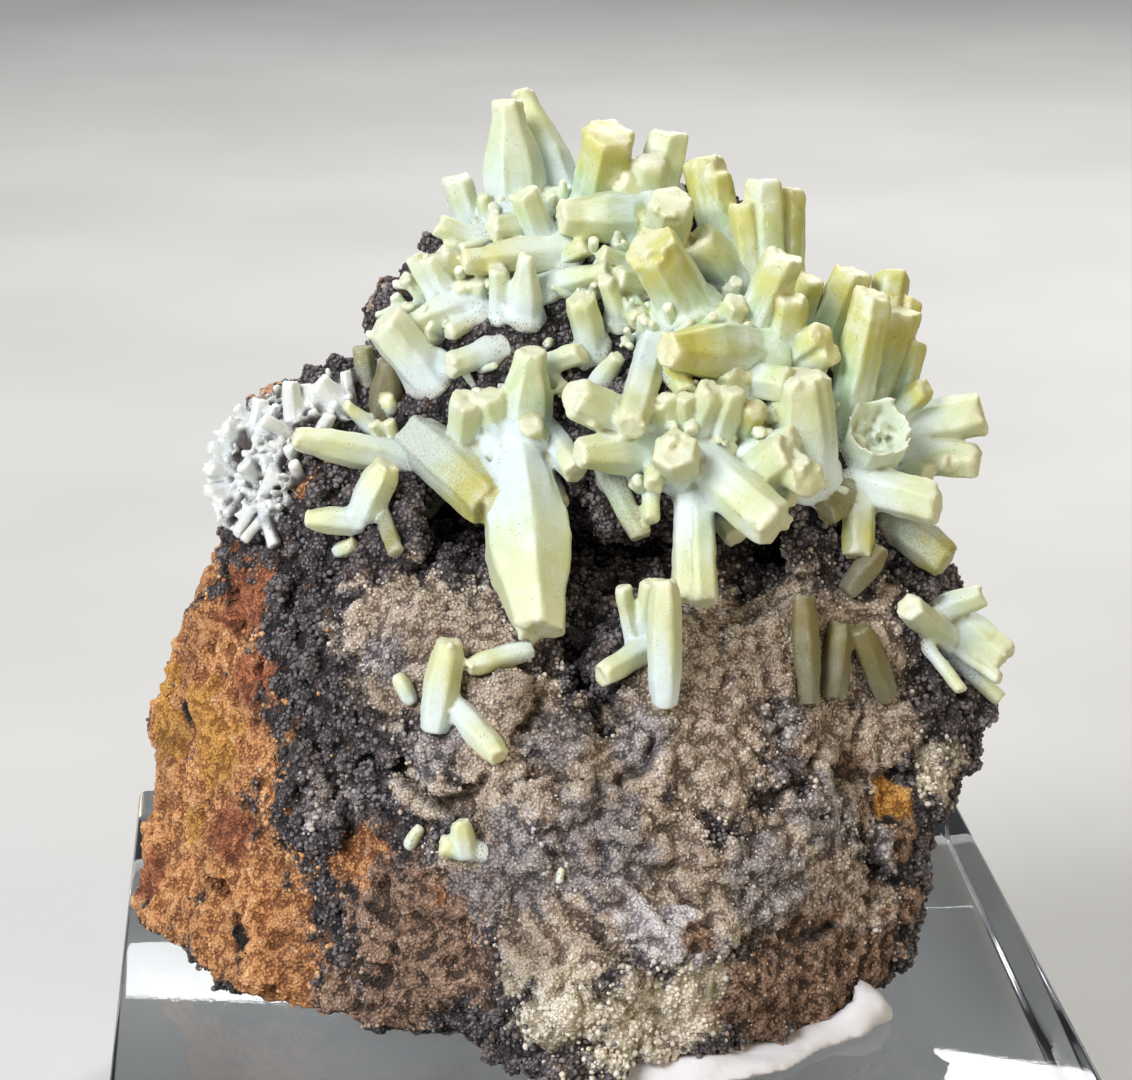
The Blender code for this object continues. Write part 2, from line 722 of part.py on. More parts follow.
def build_rock(collection):
    """The matrix: lumps joined into one stone, roughened, pitted, with a floor for the putty."""
    work = bmesh.new()
    lumps = [
        (BODY_SEEN, BODY_FAR),
        (LEFT_SHOULDER_SEEN, LEFT_SHOULDER_FAR),
        (SUMMIT_SEEN, SUMMIT_FAR),
        (RIGHT_SHOULDER_SEEN, RIGHT_SHOULDER_FAR),
    ]
    for near_corners, far_corners in lumps:
        points = [seen(*corner) for corner in near_corners]
        points += [Vector(corner) * MM for corner in far_corners]
        hull(work, points)
    rock = from_bmesh("matrix_rock", work, collection)
    remesh(rock, ROCK_GRAIN, ROCK_SMOOTHING)
    work = bmesh.new()
    work.from_mesh(rock.data)
    ledges(work, *ROCK_LEDGES)
    for lumps_of_size in ROCK_LUMPS:
        roughen(work, *lumps_of_size)
    apply_reliefs(work, RELIEFS + FAR_RELIEFS)
    flatten_floor(work, ROCK_FLOOR)
    work.to_mesh(rock.data)
    work.free()
    remesh(rock, ROCK_GRAIN, 0)
    thin_out(rock, ROCK_TRIANGLES)
    tidy_body(rock)
    return rock


def puffed(source, amount, collection):
    """A copy of an object, its skin moved out by an amount, to cut with."""
    work = bmesh.new()
    work.from_mesh(source.data)
    work.normal_update()
    moved = [(vert, vert.co + vert.normal * amount * vert.calc_shell_factor()) for vert in work.verts]
    for vert, place in moved:
        vert.co = place
    made = from_bmesh(source.name + "_cutter", work, collection)
    made.hide_render = True
    made.display_type = "WIRE"
    return made


def near_of(point):
    """How much nearer than the focus a point is, in millimetres."""
    return (FOCUS_DISTANCE - (point - EYE).dot(FORWARD)) / MM


def rock_near(tree, px, py):
    """How near the stone is at a place in the frame, or None beside it."""
    hit = tree.ray_cast(EYE, sight(px, py).normalized())[0]
    if hit is None:
        return None
    return near_of(hit)


def foot_near(tree, px, py):
    """How near the stone is at a foot, searching towards the stone's middle from beside it."""
    for step in range(FOOT_STEPS):
        share = step * FOOT_STEP
        x = px + (STONE_MIDDLE[0] - px) * share
        y = py + (STONE_MIDDLE[1] - py) * share
        near = rock_near(tree, x, y)
        if near is not None:
            return near
    return 0.0


def crystal_ends(crystal, tree):
    """The real foot and tip of a crystal: it grows out of the stone, and clears it along its length."""
    half = crystal.wide * 0.5 * PIXEL_SIZE
    base = foot_near(tree, *crystal.foot)
    if crystal.lying:
        base += half * LYING_LIFT
    tip = base + crystal.rise
    for share in (0.5, 0.75, 1.0):
        px = crystal.foot[0] + (crystal.tip[0] - crystal.foot[0]) * share
        py = crystal.foot[1] + (crystal.tip[1] - crystal.foot[1]) * share
        under = rock_near(tree, px, py)
        if under is None:
            continue
        clear = under + half * (LYING_LIFT if crystal.lying else GROWING_LIFT)
        tip = max(tip, base + (clear - base) / share)
    return seen(*crystal.foot, base), seen(*crystal.tip, tip)


def turned(profile, sides):
    """A closed body turned from (radius, height) points round the Z axis, with flat sides."""
    work = bmesh.new()
    corners = [work.verts.new((radius, 0.0, height)) for radius, height in profile]
    edges = [work.edges.new(pair) for pair in zip(corners, corners[1:])]
    bmesh.ops.spin(
        work, geom=corners + edges, axis=(0.0, 0.0, 1.0), cent=(0.0, 0.0, 0.0),
        steps=sides, angle=math.tau, use_duplicate=False,
    )
    bmesh.ops.remove_doubles(work, verts=work.verts, dist=1e-6)
    bmesh.ops.recalc_face_normals(work, faces=work.faces)
    return work


def crystal_profile(crystal, radius, length):
    """The (radius, height) points of a crystal's side: fewer for the small and the straight ones."""
    shoulder = min(radius * SHOULDER_OF_RADIUS, length * SHOULDER_OF_LENGTH)
    top = radius * crystal.tip_share
    profile = [(0.0, 0.0), (radius * crystal.foot_share, 0.0)]
    if crystal.lying:
        profile.append((radius, shoulder))
    elif crystal.tip_share < STRAIGHT_SHARE:
        profile.append((radius, length * crystal.belly))
    if crystal.wide > SMALL_WIDTH:
        profile.append(((radius + top) * 0.5, length - shoulder))
    return profile + [(top, length), (0.0, length)]


def crystal_body(name, crystal, tree, number, collection):
    """A hexagonal barrel or prism from its foot in the stone to its blunt end."""
    foot, tip = crystal_ends(crystal, tree)
    depth = FOCUS_DISTANCE - near_of(tip) * MM
    radius = crystal.wide * 0.5 * depth / FOCAL_PIXELS * CORNER_GAIN
    axis = (tip - foot).normalized()
    sunk = 0.0 if crystal.lying else FOOT_DEPTH
    length = (tip - foot).length + sunk
    profile = crystal_profile(crystal, radius, length)
    work = turned(profile, SIDES)
    tilt = END_TILT * math.sin(number * TILT_TURN)
    for vert in work.verts:
        if vert.co.z > length * END_START:
            vert.co.z += vert.co.x * tilt
    spin = Matrix.Rotation(number * ROLL_TURN, 4, "Z")
    stand = axis.to_track_quat("Z", "Y").to_matrix().to_4x4()
    place = Matrix.Translation(foot - axis * sunk) @ stand @ spin
    bmesh.ops.transform(work, matrix=place, verts=work.verts)
    body = from_bmesh(name, work, collection)
    if crystal.hollow:
        cut_hollow(body, tip, axis, radius, collection)
    return body


def cut_hollow(body, tip, axis, radius, collection):
    """Break the end of a crystal open into a rough bowl."""
    work = bmesh.new()
    bmesh.ops.create_icosphere(work, subdivisions=2, radius=radius * BOWL_REACH)
    for vert in work.verts:
        vert.co *= 1.0 + BOWL_RAGGED * noise.noise(vert.co / (radius * BOWL_LUMP))
    bmesh.ops.translate(work, vec=tip + axis * radius * BOWL_LIFT, verts=work.verts)
    bowl = from_bmesh("bowl_cutter", work, collection)
    boolean(body, "DIFFERENCE", bowl)
    bpy.data.objects.remove(bowl)


def standing_part(body, cutter, collection):
    """A search tree over what stands out of the stone, or None for a body that lies wholly in it."""
    stump = new_object("stump", body.data.copy(), collection)
    boolean(stump, "DIFFERENCE", cutter)
    tree = surface_of(stump) if stump.data.polygons else None
    bpy.data.objects.remove(stump)
    return tree


def touching_groups(bodies, cutter, collection):
    """Sort crystals into groups that touch each other outside the stone."""
    trees = [standing_part(body, cutter, collection) for body in bodies]
    group = list(range(len(bodies)))

    def root(index):
        while group[index] != index:
            index = group[index]
        return index

    for first in range(len(bodies)):
        for second in range(first):
            if trees[first] and trees[second] and trees[first].overlap(trees[second]):
                high, low = sorted((root(first), root(second)), reverse=True)
                group[high] = low
    sets = {}
    for index, body in enumerate(bodies):
        if trees[index]:
            sets.setdefault(root(index), []).append(body)
        else:
            bpy.data.objects.remove(body)
    return list(sets.values())


def join_group(bodies, cutter):
    """Grow a group of crystals into one solid, and cut it free of the stone."""
    first = bodies[0]
    for other in bodies[1:]:
        boolean(first, "UNION", other)
        bpy.data.objects.remove(other)
    boolean(first, "DIFFERENCE", cutter)
    tidy_body(first)
    return first


def druse_lumps(tree, collection):
    """The low white lumps that the tiny crystals of the left shoulder stand on."""
    lumps = []
    for px, py, wide, thick in WHITE_LUMPS:
        centre = seen(px, py, foot_near(tree, px, py))
        work = bmesh.new()
        bmesh.ops.create_icosphere(work, subdivisions=1, radius=wide * 0.5 * PIXEL_SIZE * MM)
        for vert in work.verts:
            vert.co += centre - FORWARD * vert.co.dot(FORWARD) * (1.0 - thick)
        lumps.append(from_bmesh("white_druse", work, collection))
    return lumps


def build_crystals(rock, cutter, parts):
    """Every crystal on the stone, those grown together as one solid."""
    tree = surface_of(rock)
    bodies = []
    number = 0
    for cluster, rows in (*CLUSTERS.items(), ("white_druse", WHITE_DRUSE)):
        for row in rows:
            number += 1
            bodies.append(crystal_body(cluster, row, tree, number, parts))
    bodies += druse_lumps(tree, parts)
    made = []
    counts = {}
    for group in touching_groups(bodies, cutter, parts):
        clusters = Counter(body.name.split(".")[0] for body in group)
        cluster = "summit" if len(clusters) > WIDE_GROUP else clusters.most_common(1)[0][0]
        label = cluster if cluster == "white_druse" else cluster + "_crystals"
        counts[label] = counts.get(label, 0) + 1
        solid = join_group(group, cutter)
        solid.name = f"{label}_{counts[label]}"
        made.append(solid)
    return made


def build_base(parts):
    """The clear display block, a cube with narrow bevels."""
    bpy.ops.mesh.primitive_cube_add(size=1.0, location=(0.0, 0.0, BASE_THICKNESS * 0.5))
    base = bpy.context.object
    base.name = "display_base"
    base.scale = (BASE_SIDE, BASE_SIDE, BASE_THICKNESS)
    bpy.ops.object.transform_apply(location=True, rotation=False, scale=True)
    for holder in list(base.users_collection):
        holder.objects.unlink(base)
    parts.objects.link(base)
    edge = base.modifiers.new("edge", "BEVEL")
    edge.width = BASE_EDGE
    edge.segments = 2
    edge.limit_method = "ANGLE"
    return base


def build_putty(cutter, parts):
    """The putty: flattened lumps run together, pressed flat below and up against the stone."""
    work = bmesh.new()
    floor = BASE_THICKNESS + TOUCH_GAP
    for centre, reach, height in PUTTY_LUMPS:
        made = bmesh.ops.create_icosphere(work, subdivisions=3, radius=1.0)
        size = Matrix.Diagonal((reach[0] * MM, reach[1] * MM, height * MM, 1.0))
        place = Matrix.Translation((centre[0] * MM, centre[1] * MM, floor))
        bmesh.ops.transform(work, matrix=place @ size, verts=made["verts"])
    putty = from_bmesh("putty", work, parts)
    remesh(putty, PUTTY_GRAIN, PUTTY_SMOOTHING)
    work = bmesh.new()
    work.from_mesh(putty.data)
    roughen(work, *PUTTY_FOLDS)
    flatten_floor(work, floor)
    work.to_mesh(putty.data)
    work.free()
    thin_out(putty, PUTTY_TRIANGLES)
    boolean(putty, "DIFFERENCE", cutter)
    tidy_body(putty)
    return putty


def main():
    """Build the specimen and dress each piece in its own plain material."""
    clear_scene()
    parts = bpy.data.collections.new("plumbogummite_specimen")
    cutters = bpy.data.collections.new("cutters")
    bpy.context.scene.collection.children.link(parts)
    bpy.context.scene.collection.children.link(cutters)
    rock = build_rock(parts)
    cutter = puffed(rock, TOUCH_GAP, cutters)
    base = build_base(parts)
    putty = build_putty(cutter, parts)
    crystals = build_crystals(rock, cutter, parts)
    rock.data.materials.append(material("matrix_stone", (0.23, 0.17, 0.14), 0.9))
    base.data.materials.append(material("clear_acrylic", (0.95, 0.97, 0.98), 0.05, 1.0, 1.49))
    putty.data.materials.append(material("white_putty", (0.82, 0.82, 0.84), 0.7))
    for crystal in crystals:
        crystal.data.materials.append(material("crystal_" + crystal.name, (0.72, 0.78, 0.55), 0.45))


main()
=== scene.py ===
"""The looks of a plumbogummite specimen: its crystals, matrix stone, putty and display block.

Everything is in metres, +Z up, in the same frame as the solids that it dresses. The places of the
crystals and of the stone's patches are read in the photograph's 1132 by 1080 frame, and a line of
sight through that frame sets each one down on the stone.
"""

import logging
import math
from dataclasses import dataclass, field
from enum import Enum
from random import Random
from typing import Sequence

import bmesh
import bpy
import numpy as np
from mathutils import Matrix, Vector, noise
from mathutils.bvhtree import BVHTree


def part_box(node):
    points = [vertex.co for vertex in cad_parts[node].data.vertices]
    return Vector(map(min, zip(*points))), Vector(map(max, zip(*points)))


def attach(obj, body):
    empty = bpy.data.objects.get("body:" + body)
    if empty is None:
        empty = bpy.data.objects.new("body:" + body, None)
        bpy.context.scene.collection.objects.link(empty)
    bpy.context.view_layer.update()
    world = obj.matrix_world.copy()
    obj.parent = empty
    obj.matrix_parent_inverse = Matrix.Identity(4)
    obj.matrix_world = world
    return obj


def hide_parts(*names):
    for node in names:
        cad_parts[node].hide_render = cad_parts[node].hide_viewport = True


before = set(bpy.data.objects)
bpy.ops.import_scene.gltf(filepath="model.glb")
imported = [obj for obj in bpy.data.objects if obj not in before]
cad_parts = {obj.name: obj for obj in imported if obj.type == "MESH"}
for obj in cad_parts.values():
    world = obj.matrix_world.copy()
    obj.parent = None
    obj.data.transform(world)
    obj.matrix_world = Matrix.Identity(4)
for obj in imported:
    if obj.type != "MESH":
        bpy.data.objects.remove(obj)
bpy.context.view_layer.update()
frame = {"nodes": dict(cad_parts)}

LOG = logging.getLogger("plumbogummite")
MM = 0.001
BODY = "root"
SIDES = 6

Pixel = tuple[float, float]
Triple = tuple[float, float, float]
Colour = tuple[float, float, float, float]
Rows = np.ndarray
Work = bmesh.types.BMesh
Mesh = bpy.types.Mesh
Piece = bpy.types.Object
Material = bpy.types.Material
Socket = bpy.types.NodeSocket
Value = bpy.types.NodeSocket | float | str
WHITE = "ffffff"


def hex_colour(code: str) -> Colour:
    """Turn a written colour into the linear values that a shader takes.

    Args:
        code: Six hexadecimal digits, red first.

    Returns:
        Linear red, green, blue and an alpha of one.
    """
    channels = [int(code[place:place + 2], 16) / 255.0 for place in (0, 2, 4)]
    linear = [c / 12.92 if c <= 0.04045 else ((c + 0.055) / 1.055) ** 2.4 for c in channels]
    return (linear[0], linear[1], linear[2], 1.0)


def smooth_step(low: float, high: float, value: Rows) -> Rows:
    """Ease values from 0 at low to 1 at high.

    Args:
        low: Where the ease starts.
        high: Where the ease ends.
        value: The values.

    Returns:
        The eased values.
    """
    share = np.clip((value - low) / (high - low), 0.0, 1.0)
    return share * share * (3.0 - 2.0 * share)


def noise_at(points: Rows, size: Triple | float, seed: float, octaves: int = 1) -> Rows:
    """Smooth noise at many points.

    Args:
        points: One row for each point.
        size: The size of the noise's lumps, for all three ways or for each way.
        seed: A number that gives each use a pattern of its own.
        octaves: How many finer layers are added up.

    Returns:
        One value for each point, mostly between -1 and 1.
    """
    places = points / np.asarray(size) + np.array((seed * 3.17, seed * 1.71, seed * 2.39))
    if octaves == 1:
        return np.array([noise.noise(Vector(place)) for place in places])
    return np.array([noise.fractal(Vector(place), 1.0, 2.0, octaves) for place in places])


class Photograph:
    """The photograph's eye and lens, which turn places in its frame into lines of sight."""

    WIDTH = 1132.0
    HEIGHT = 1080.0
    FOCAL_PIXELS = 3400.0
    EYE = Vector((-11.3, -132.0, 70.2)) * MM
    PITCH = math.radians(16.8)
    HEADING = math.radians(4.7)
    FOCUS = 138.1 * MM
    SENSOR = 36.0
    NEAREST_SEEN = 1.0 * MM

    def __init__(self) -> None:
        """Work out which way the eye looks."""
        flat = math.cos(self.PITCH)
        self.forward = Vector(
            (math.sin(self.HEADING) * flat, math.cos(self.HEADING) * flat, -math.sin(self.PITCH))
        )
        self.rightward = Vector((math.cos(self.HEADING), -math.sin(self.HEADING), 0.0))
        self.upward = self.rightward.cross(self.forward)
        self.pixel = self.FOCUS / self.FOCAL_PIXELS

    def sight(self, px: float, py: float) -> Vector:
        """The line of sight through a place in the frame, one unit deep."""
        across = (px - self.WIDTH * 0.5) / self.FOCAL_PIXELS
        down = (py - self.HEIGHT * 0.5) / self.FOCAL_PIXELS
        return self.forward + self.rightward * across - self.upward * down

    def seen(self, px: float, py: float, near: float) -> Vector:
        """The point seen at a place, near millimetres in front of the plane in focus."""
        return self.EYE + self.sight(px, py) * (self.FOCUS - near * MM)

    def near_of(self, point: Vector) -> float:
        """How much nearer than the plane in focus a point is, in millimetres."""
        return (self.FOCUS - (point - self.EYE).dot(self.forward)) / MM

    def add_camera(self) -> Piece:
        """Stand a camera at the eye.

        Returns:
            The scene's camera.
        """
        lens = bpy.data.cameras.new("photograph_camera")
        lens.sensor_fit = "HORIZONTAL"
        lens.sensor_width = self.SENSOR
        lens.lens = self.FOCAL_PIXELS / self.WIDTH * self.SENSOR
        lens.clip_start = self.NEAREST_SEEN
        camera = bpy.data.objects.new("photograph_camera", lens)
        turn = Matrix((self.rightward, self.upward, -self.forward)).transposed().to_4x4()
        camera.matrix_world = Matrix.Translation(self.EYE) @ turn
        bpy.context.scene.collection.objects.link(camera)
        bpy.context.scene.camera = camera
        return camera


PHOTO = Photograph()


@dataclass(frozen=True)
class Crystal:
    """One crystal as the photograph shows it.

    The foot and the tip are places in the frame, wide is in pixels, and rise is how much nearer
    the tip is than the foot, in millimetres. The shares say how wide the foot and the tip are, and
    where along its length the crystal is widest.
    """

    foot: Pixel
    tip: Pixel
    wide: float
    rise: float = 0.6
    foot_share: float = 0.78
    tip_share: float = 0.66
    belly: float = 0.5
    lying: bool = False
    hollow: bool = False


def spire(foot: Pixel, tip: Pixel, wide: float, rise: float = 0.4) -> Crystal:
    """A crystal that tapers to a narrow blunt end."""
    return Crystal(foot, tip, wide, rise, foot_share=0.85, tip_share=0.5, belly=0.42)


def prism(foot: Pixel, tip: Pixel, wide: float, rise: float = 0.6) -> Crystal:
    """A straight sided crystal with a full flat end."""
    return Crystal(foot, tip, wide, rise, foot_share=0.96, tip_share=0.96)


def resting(foot: Pixel, tip: Pixel, wide: float, rise: float = 0.0) -> Crystal:
    """A crystal with two finished ends that lies along the stone."""
    return Crystal(foot, tip, wide, rise, foot_share=0.7, tip_share=0.7, lying=True)


def crystals(*rows: Crystal | tuple[float, ...]) -> list[Crystal]:
    """A table of crystals, in which a bare row of numbers is a prism.

    Args:
        rows: Crystals, or the foot's two numbers, the tip's two, the width and the rise.

    Returns:
        The crystals, in the same order.
    """
    return [row if isinstance(row, Crystal) else prism(row[:2], row[2:4], *row[4:]) for row in rows]


CLUSTERS: dict[str, list[Crystal]] = {
    "crown": crystals(
        spire((517, 212), (507, 102), 60, 0.6), spire((560, 196), (522, 91), 48, -0.4),
        (596, 200, 609, 132, 54, 2.3), (508, 214, 512, 182, 21, 0.8), (542, 240, 524, 191, 31, 1.0),
        (574, 198, 543, 198, 25, 0.3), (472, 230, 456, 177, 32, 0.4), (488, 226, 483, 194, 15, 0.4),
        (478, 242, 437, 224, 26, 0.3), (474, 247, 444, 251, 18, 0.4), (655, 192, 669, 132, 43, 0.2),
        (648, 198, 650, 160, 37, 1.0), (652, 206, 620, 182, 24, 0.5),
    ),
    "upper_left": crystals(
        Crystal((562, 252), (464, 262), 41, 0.9), (530, 226, 490, 228, 30, 0.5),
        spire((525, 314), (527, 257), 35, 1.2), (501, 314, 499, 268, 21, 0.8),
        (477, 302, 477, 280, 20, 0.6), (463, 302, 463, 284, 18, 0.5), (440, 300, 415, 255, 25, 0.2),
        (448, 298, 429, 257, 25, 0.4), (467, 272, 438, 257, 30, 0.3),
        Crystal((464, 303), (405, 326), 32, 0.7), (477, 316, 448, 333, 20, 0.5),
        (487, 353, 449, 366, 28, 0.7), (427, 374, 384, 320, 46, 0.5),
    ),
    "upper_middle": crystals(
        Crystal((640, 217), (560, 218), 56, 0.9), (628, 266, 600, 254, 23, 0.6),
        (551, 264, 588, 246, 22, 0.6), Crystal((545, 288), (609, 271), 30, 0.8),
        (591, 350, 580, 297, 32, 1.0), Crystal((621, 318), (606, 279), 27, 0.9),
        (628, 300, 641, 322, 24, 0.7), (652, 282, 615, 280, 31, 0.7), (688, 308, 650, 245, 57, 2.0),
        (664, 252, 671, 200, 47, 2.2), (641, 247, 640, 215, 22, 0.6), (737, 282, 694, 240, 45, 0.5),
        Crystal((752, 352), (666, 350), 62, 1.0, foot_share=0.7, tip_share=0.62),
        (722, 332, 738, 302, 29, 1.2), (670, 370, 687, 394, 22, 0.8),
    ),
    "upper_right": crystals(
        (722, 246, 702, 158, 42, 0.3), (726, 242, 716, 172, 31, 0.9), (754, 300, 743, 204, 30, 0.4),
        (768, 302, 763, 180, 40, 0.6), (785, 300, 789, 190, 36, 0.2), (752, 328, 785, 256, 43, 1.2),
        (800, 322, 812, 278, 31, 0.7), (783, 354, 790, 296, 38, 1.2), (788, 362, 823, 333, 30, 1.4),
        (792, 368, 833, 352, 28, 1.3),
    ),
    "east_fan": crystals(
        (822, 347, 854, 271, 45, 0.6), (880, 332, 893, 275, 37, -0.6),
        (895, 350, 911, 299, 28, -0.2), (845, 428, 873, 293, 44, 1.4),
        (868, 402, 899, 311, 46, 1.0), (856, 384, 867, 325, 25, 1.6), (903, 390, 916, 341, 26, 0.4),
        (903, 408, 926, 387, 27, 0.6),
    ),
    "east_spray": crystals(
        Crystal((905, 430), (982, 413), 47, 0.4, foot_share=0.65, tip_share=0.96),
        (905, 456, 978, 461, 38, 0.8), (908, 462, 949, 463, 20, 1.4),
        Crystal((868, 448), (882, 424), 68, 2.2, foot_share=0.9, tip_share=0.96, hollow=True),
        (860, 470, 858, 557, 34, 0.9), (862, 484, 938, 504, 44, 1.0), (900, 462, 930, 476, 22, 1.3),
        Crystal((806, 470), (800, 374), 64, 1.2, foot_share=0.8, tip_share=0.8),
        (850, 488, 824, 513, 32, 0.9), (895, 522, 947, 562, 40, 0.6),
    ),
    "centre_spray": crystals(
        (745, 378, 793, 385, 40, 1.0), (738, 400, 724, 366, 36, 0.9), (746, 394, 742, 375, 18, 0.9),
        (696, 432, 713, 388, 31, 1.2), (716, 450, 735, 390, 28, 1.4), (742, 432, 758, 408, 26, 1.5),
        (675, 440, 667, 395, 18, 1.0), (683, 440, 685, 395, 18, 1.0), (660, 437, 658, 403, 19, 0.9),
        (656, 338, 630, 428, 35, 1.4), (640, 428, 574, 397, 42, 1.6), (622, 430, 590, 420, 15, 1.6),
        Crystal((652, 452), (578, 453), 45, 1.6), (680, 470, 675, 449, 48, 2.6),
        (656, 456, 654, 486, 21, 1.6), (700, 462, 776, 526, 54, 2.2), (716, 512, 736, 539, 24, 1.0),
        (688, 486, 685, 600, 28, 1.2), (698, 486, 704, 603, 32, 1.4), (735, 488, 790, 452, 44, 1.8),
        (735, 462, 797, 436, 28, 0.9), (770, 488, 794, 501, 19, 0.8), (770, 458, 810, 479, 44, 2.4),
        (612, 482, 642, 537, 26, 0.6), (650, 480, 651, 521, 19, 0.9),
    ),
    "west_spray": crystals(
        Crystal((522, 440), (530, 351), 54, 1.4, foot_share=0.9, tip_share=0.6),
        (504, 440, 487, 394, 34, 1.2), (538, 368, 582, 352, 24, 1.0), (540, 460, 532, 424, 26, 1.6),
        (546, 376, 565, 391, 18, 0.9), (550, 436, 577, 472, 29, 1.4), (548, 478, 560, 505, 22, 1.0),
        (462, 456, 467, 398, 34, 1.2), (428, 446, 492, 505, 54, 2.4),
        Crystal((518, 448), (540, 630), 92, 4.2, foot_share=0.5, tip_share=0.62, belly=0.62),
    ),
    "single": crystals(
        Crystal((601, 380), (618, 356), 25, 0.8), resting((545, 348), (551, 337), 10),
    ),
    "left_shoulder": crystals(
        Crystal((402, 460), (294, 438), 36, 0.9), resting((362, 518), (388, 464), 38, 0.8),
        resting((366, 523), (306, 518), 26), resting((336, 552), (356, 545), 18),
        (383, 513, 396, 554, 17, 0.5), (441, 495, 425, 515, 14, 0.6),
        Crystal((386, 408), (389, 360), 32, 0.6), (368, 382, 362, 346, 21, 0.2),
        resting((393, 414), (386, 399), 14, 0.3), Crystal((372, 428), (345, 405), 17, 0.4),
        (380, 442, 373, 422, 15, 0.5), (396, 442, 388, 420, 14, 0.5),
    ),
    "lower_left": crystals(
        resting((434, 732), (450, 641), 38, 0.4), resting((532, 649), (467, 668), 24),
        resting((413, 704), (396, 675), 18), resting((455, 706), (500, 758), 29),
        resting((467, 860), (460, 820), 24, 0.2), (470, 850, 440, 845, 24, 0.2),
        resting((407, 849), (421, 826), 14), resting((559, 884), (562, 866), 9),
    ),
    "lower_middle": crystals(
        resting((664, 707), (665, 580), 35, 0.8), (654, 645, 601, 676, 28, 0.8),
        (634, 644, 622, 586, 18, 0.6), (642, 640, 652, 582, 22, 0.9),
    ),
    "right_trio": crystals(
        resting((808, 705), (804, 596), 28), resting((831, 698), (841, 623), 30),
        resting((888, 699), (860, 628), 30), resting((845, 592), (882, 548), 28),
        resting((709, 998), (712, 978), 10),
    ),
    "right_edge": crystals(
        (952, 644, 909, 607, 30, 1.2), (936, 610, 983, 595, 27, 0.2),
        (952, 618, 1004, 661, 44, 0.9), (962, 666, 1001, 700, 16, 0.4),
        (924, 642, 962, 692, 14, 0.9), (944, 640, 1000, 679, 14, 1.2),
    ),
}

# The tiny white crystals of the left shoulder, grown into one mat
WHITE_DRUSE: list[Crystal] = crystals(
    (252, 420, 236, 407, 10, 0.2), (257, 428, 262, 400, 17, 0.3), (272, 420, 276, 404, 10, 0.3),
    (294, 424, 290, 381, 18, 0.4), (304, 412, 307, 384, 15, 0.1), (342, 404, 318, 382, 24, 0.3),
    (350, 398, 345, 371, 12, 0.0), (292, 434, 262, 419, 14, 0.6), (262, 458, 285, 437, 10, 0.6),
    (296, 460, 288, 447, 13, 0.6), (228, 452, 208, 447, 15, 0.2), (258, 480, 244, 462, 19, 0.6),
    (264, 498, 276, 469, 17, 0.7), (226, 474, 209, 468, 16, 0.3), (222, 490, 206, 492, 15, 0.3),
    (240, 484, 213, 499, 12, 0.6), (236, 506, 225, 515, 10, 0.5), (262, 498, 236, 534, 12, 0.8),
    (264, 516, 244, 540, 9, 0.7), (268, 522, 275, 547, 15, 0.5), (240, 440, 226, 428, 13, 0.3),
    (232, 462, 222, 456, 12, 0.4), (320, 432, 330, 414, 13, 0.4), (340, 418, 333, 403, 9, 0.4),
    (300, 476, 293, 462, 12, 0.5), (408, 446, 401, 432, 10, 0.5),
)

# The low white lumps under them: place in the frame, width in pixels and thickness as a share
WHITE_LUMPS: list[tuple[float, float, float, float]] = [
    (236, 436, 56, 0.6), (272, 432, 54, 0.6), (312, 414, 64, 0.55), (222, 474, 52, 0.6),
    (250, 488, 54, 0.55), (276, 464, 46, 0.5), (226, 506, 44, 0.5), (254, 518, 40, 0.5),
]


@dataclass(frozen=True)
class Tint:
    """How a cluster is coloured, each from 0 to 1.

    Ripe is how yellow its tips are, green how green its sides are, coat how much brown dust lies on
    it, and pale how white its feet are.
    """

    ripe: float
    green: float
    coat: float
    pale: float


CLUSTER_TINTS: dict[str, Tint] = {
    "crown": Tint(0.4, 0.55, 0.06, 0.8), "upper_left": Tint(0.25, 0.2, 0.05, 1.0),
    "upper_middle": Tint(0.5, 0.65, 0.1, 0.7), "upper_right": Tint(0.85, 0.9, 0.06, 0.4),
    "east_fan": Tint(0.95, 0.9, 0.06, 0.3), "east_spray": Tint(0.45, 0.5, 0.1, 0.9),
    "centre_spray": Tint(0.45, 0.5, 0.08, 0.9), "west_spray": Tint(0.4, 0.4, 0.06, 1.0),
    "single": Tint(0.35, 0.2, 0.08, 0.7), "left_shoulder": Tint(0.55, 0.2, 0.1, 0.7),
    "lower_left": Tint(0.6, 0.12, 0.06, 0.7), "lower_middle": Tint(0.5, 0.2, 0.05, 0.9),
    "right_trio": Tint(0.9, 0.6, 0.9, 0.0), "right_edge": Tint(0.4, 0.35, 0.25, 0.9),
    "white_druse": Tint(0.12, 0.05, 0.02, 1.0), "filling": Tint(0.15, 0.3, 0.03, 1.0),
}

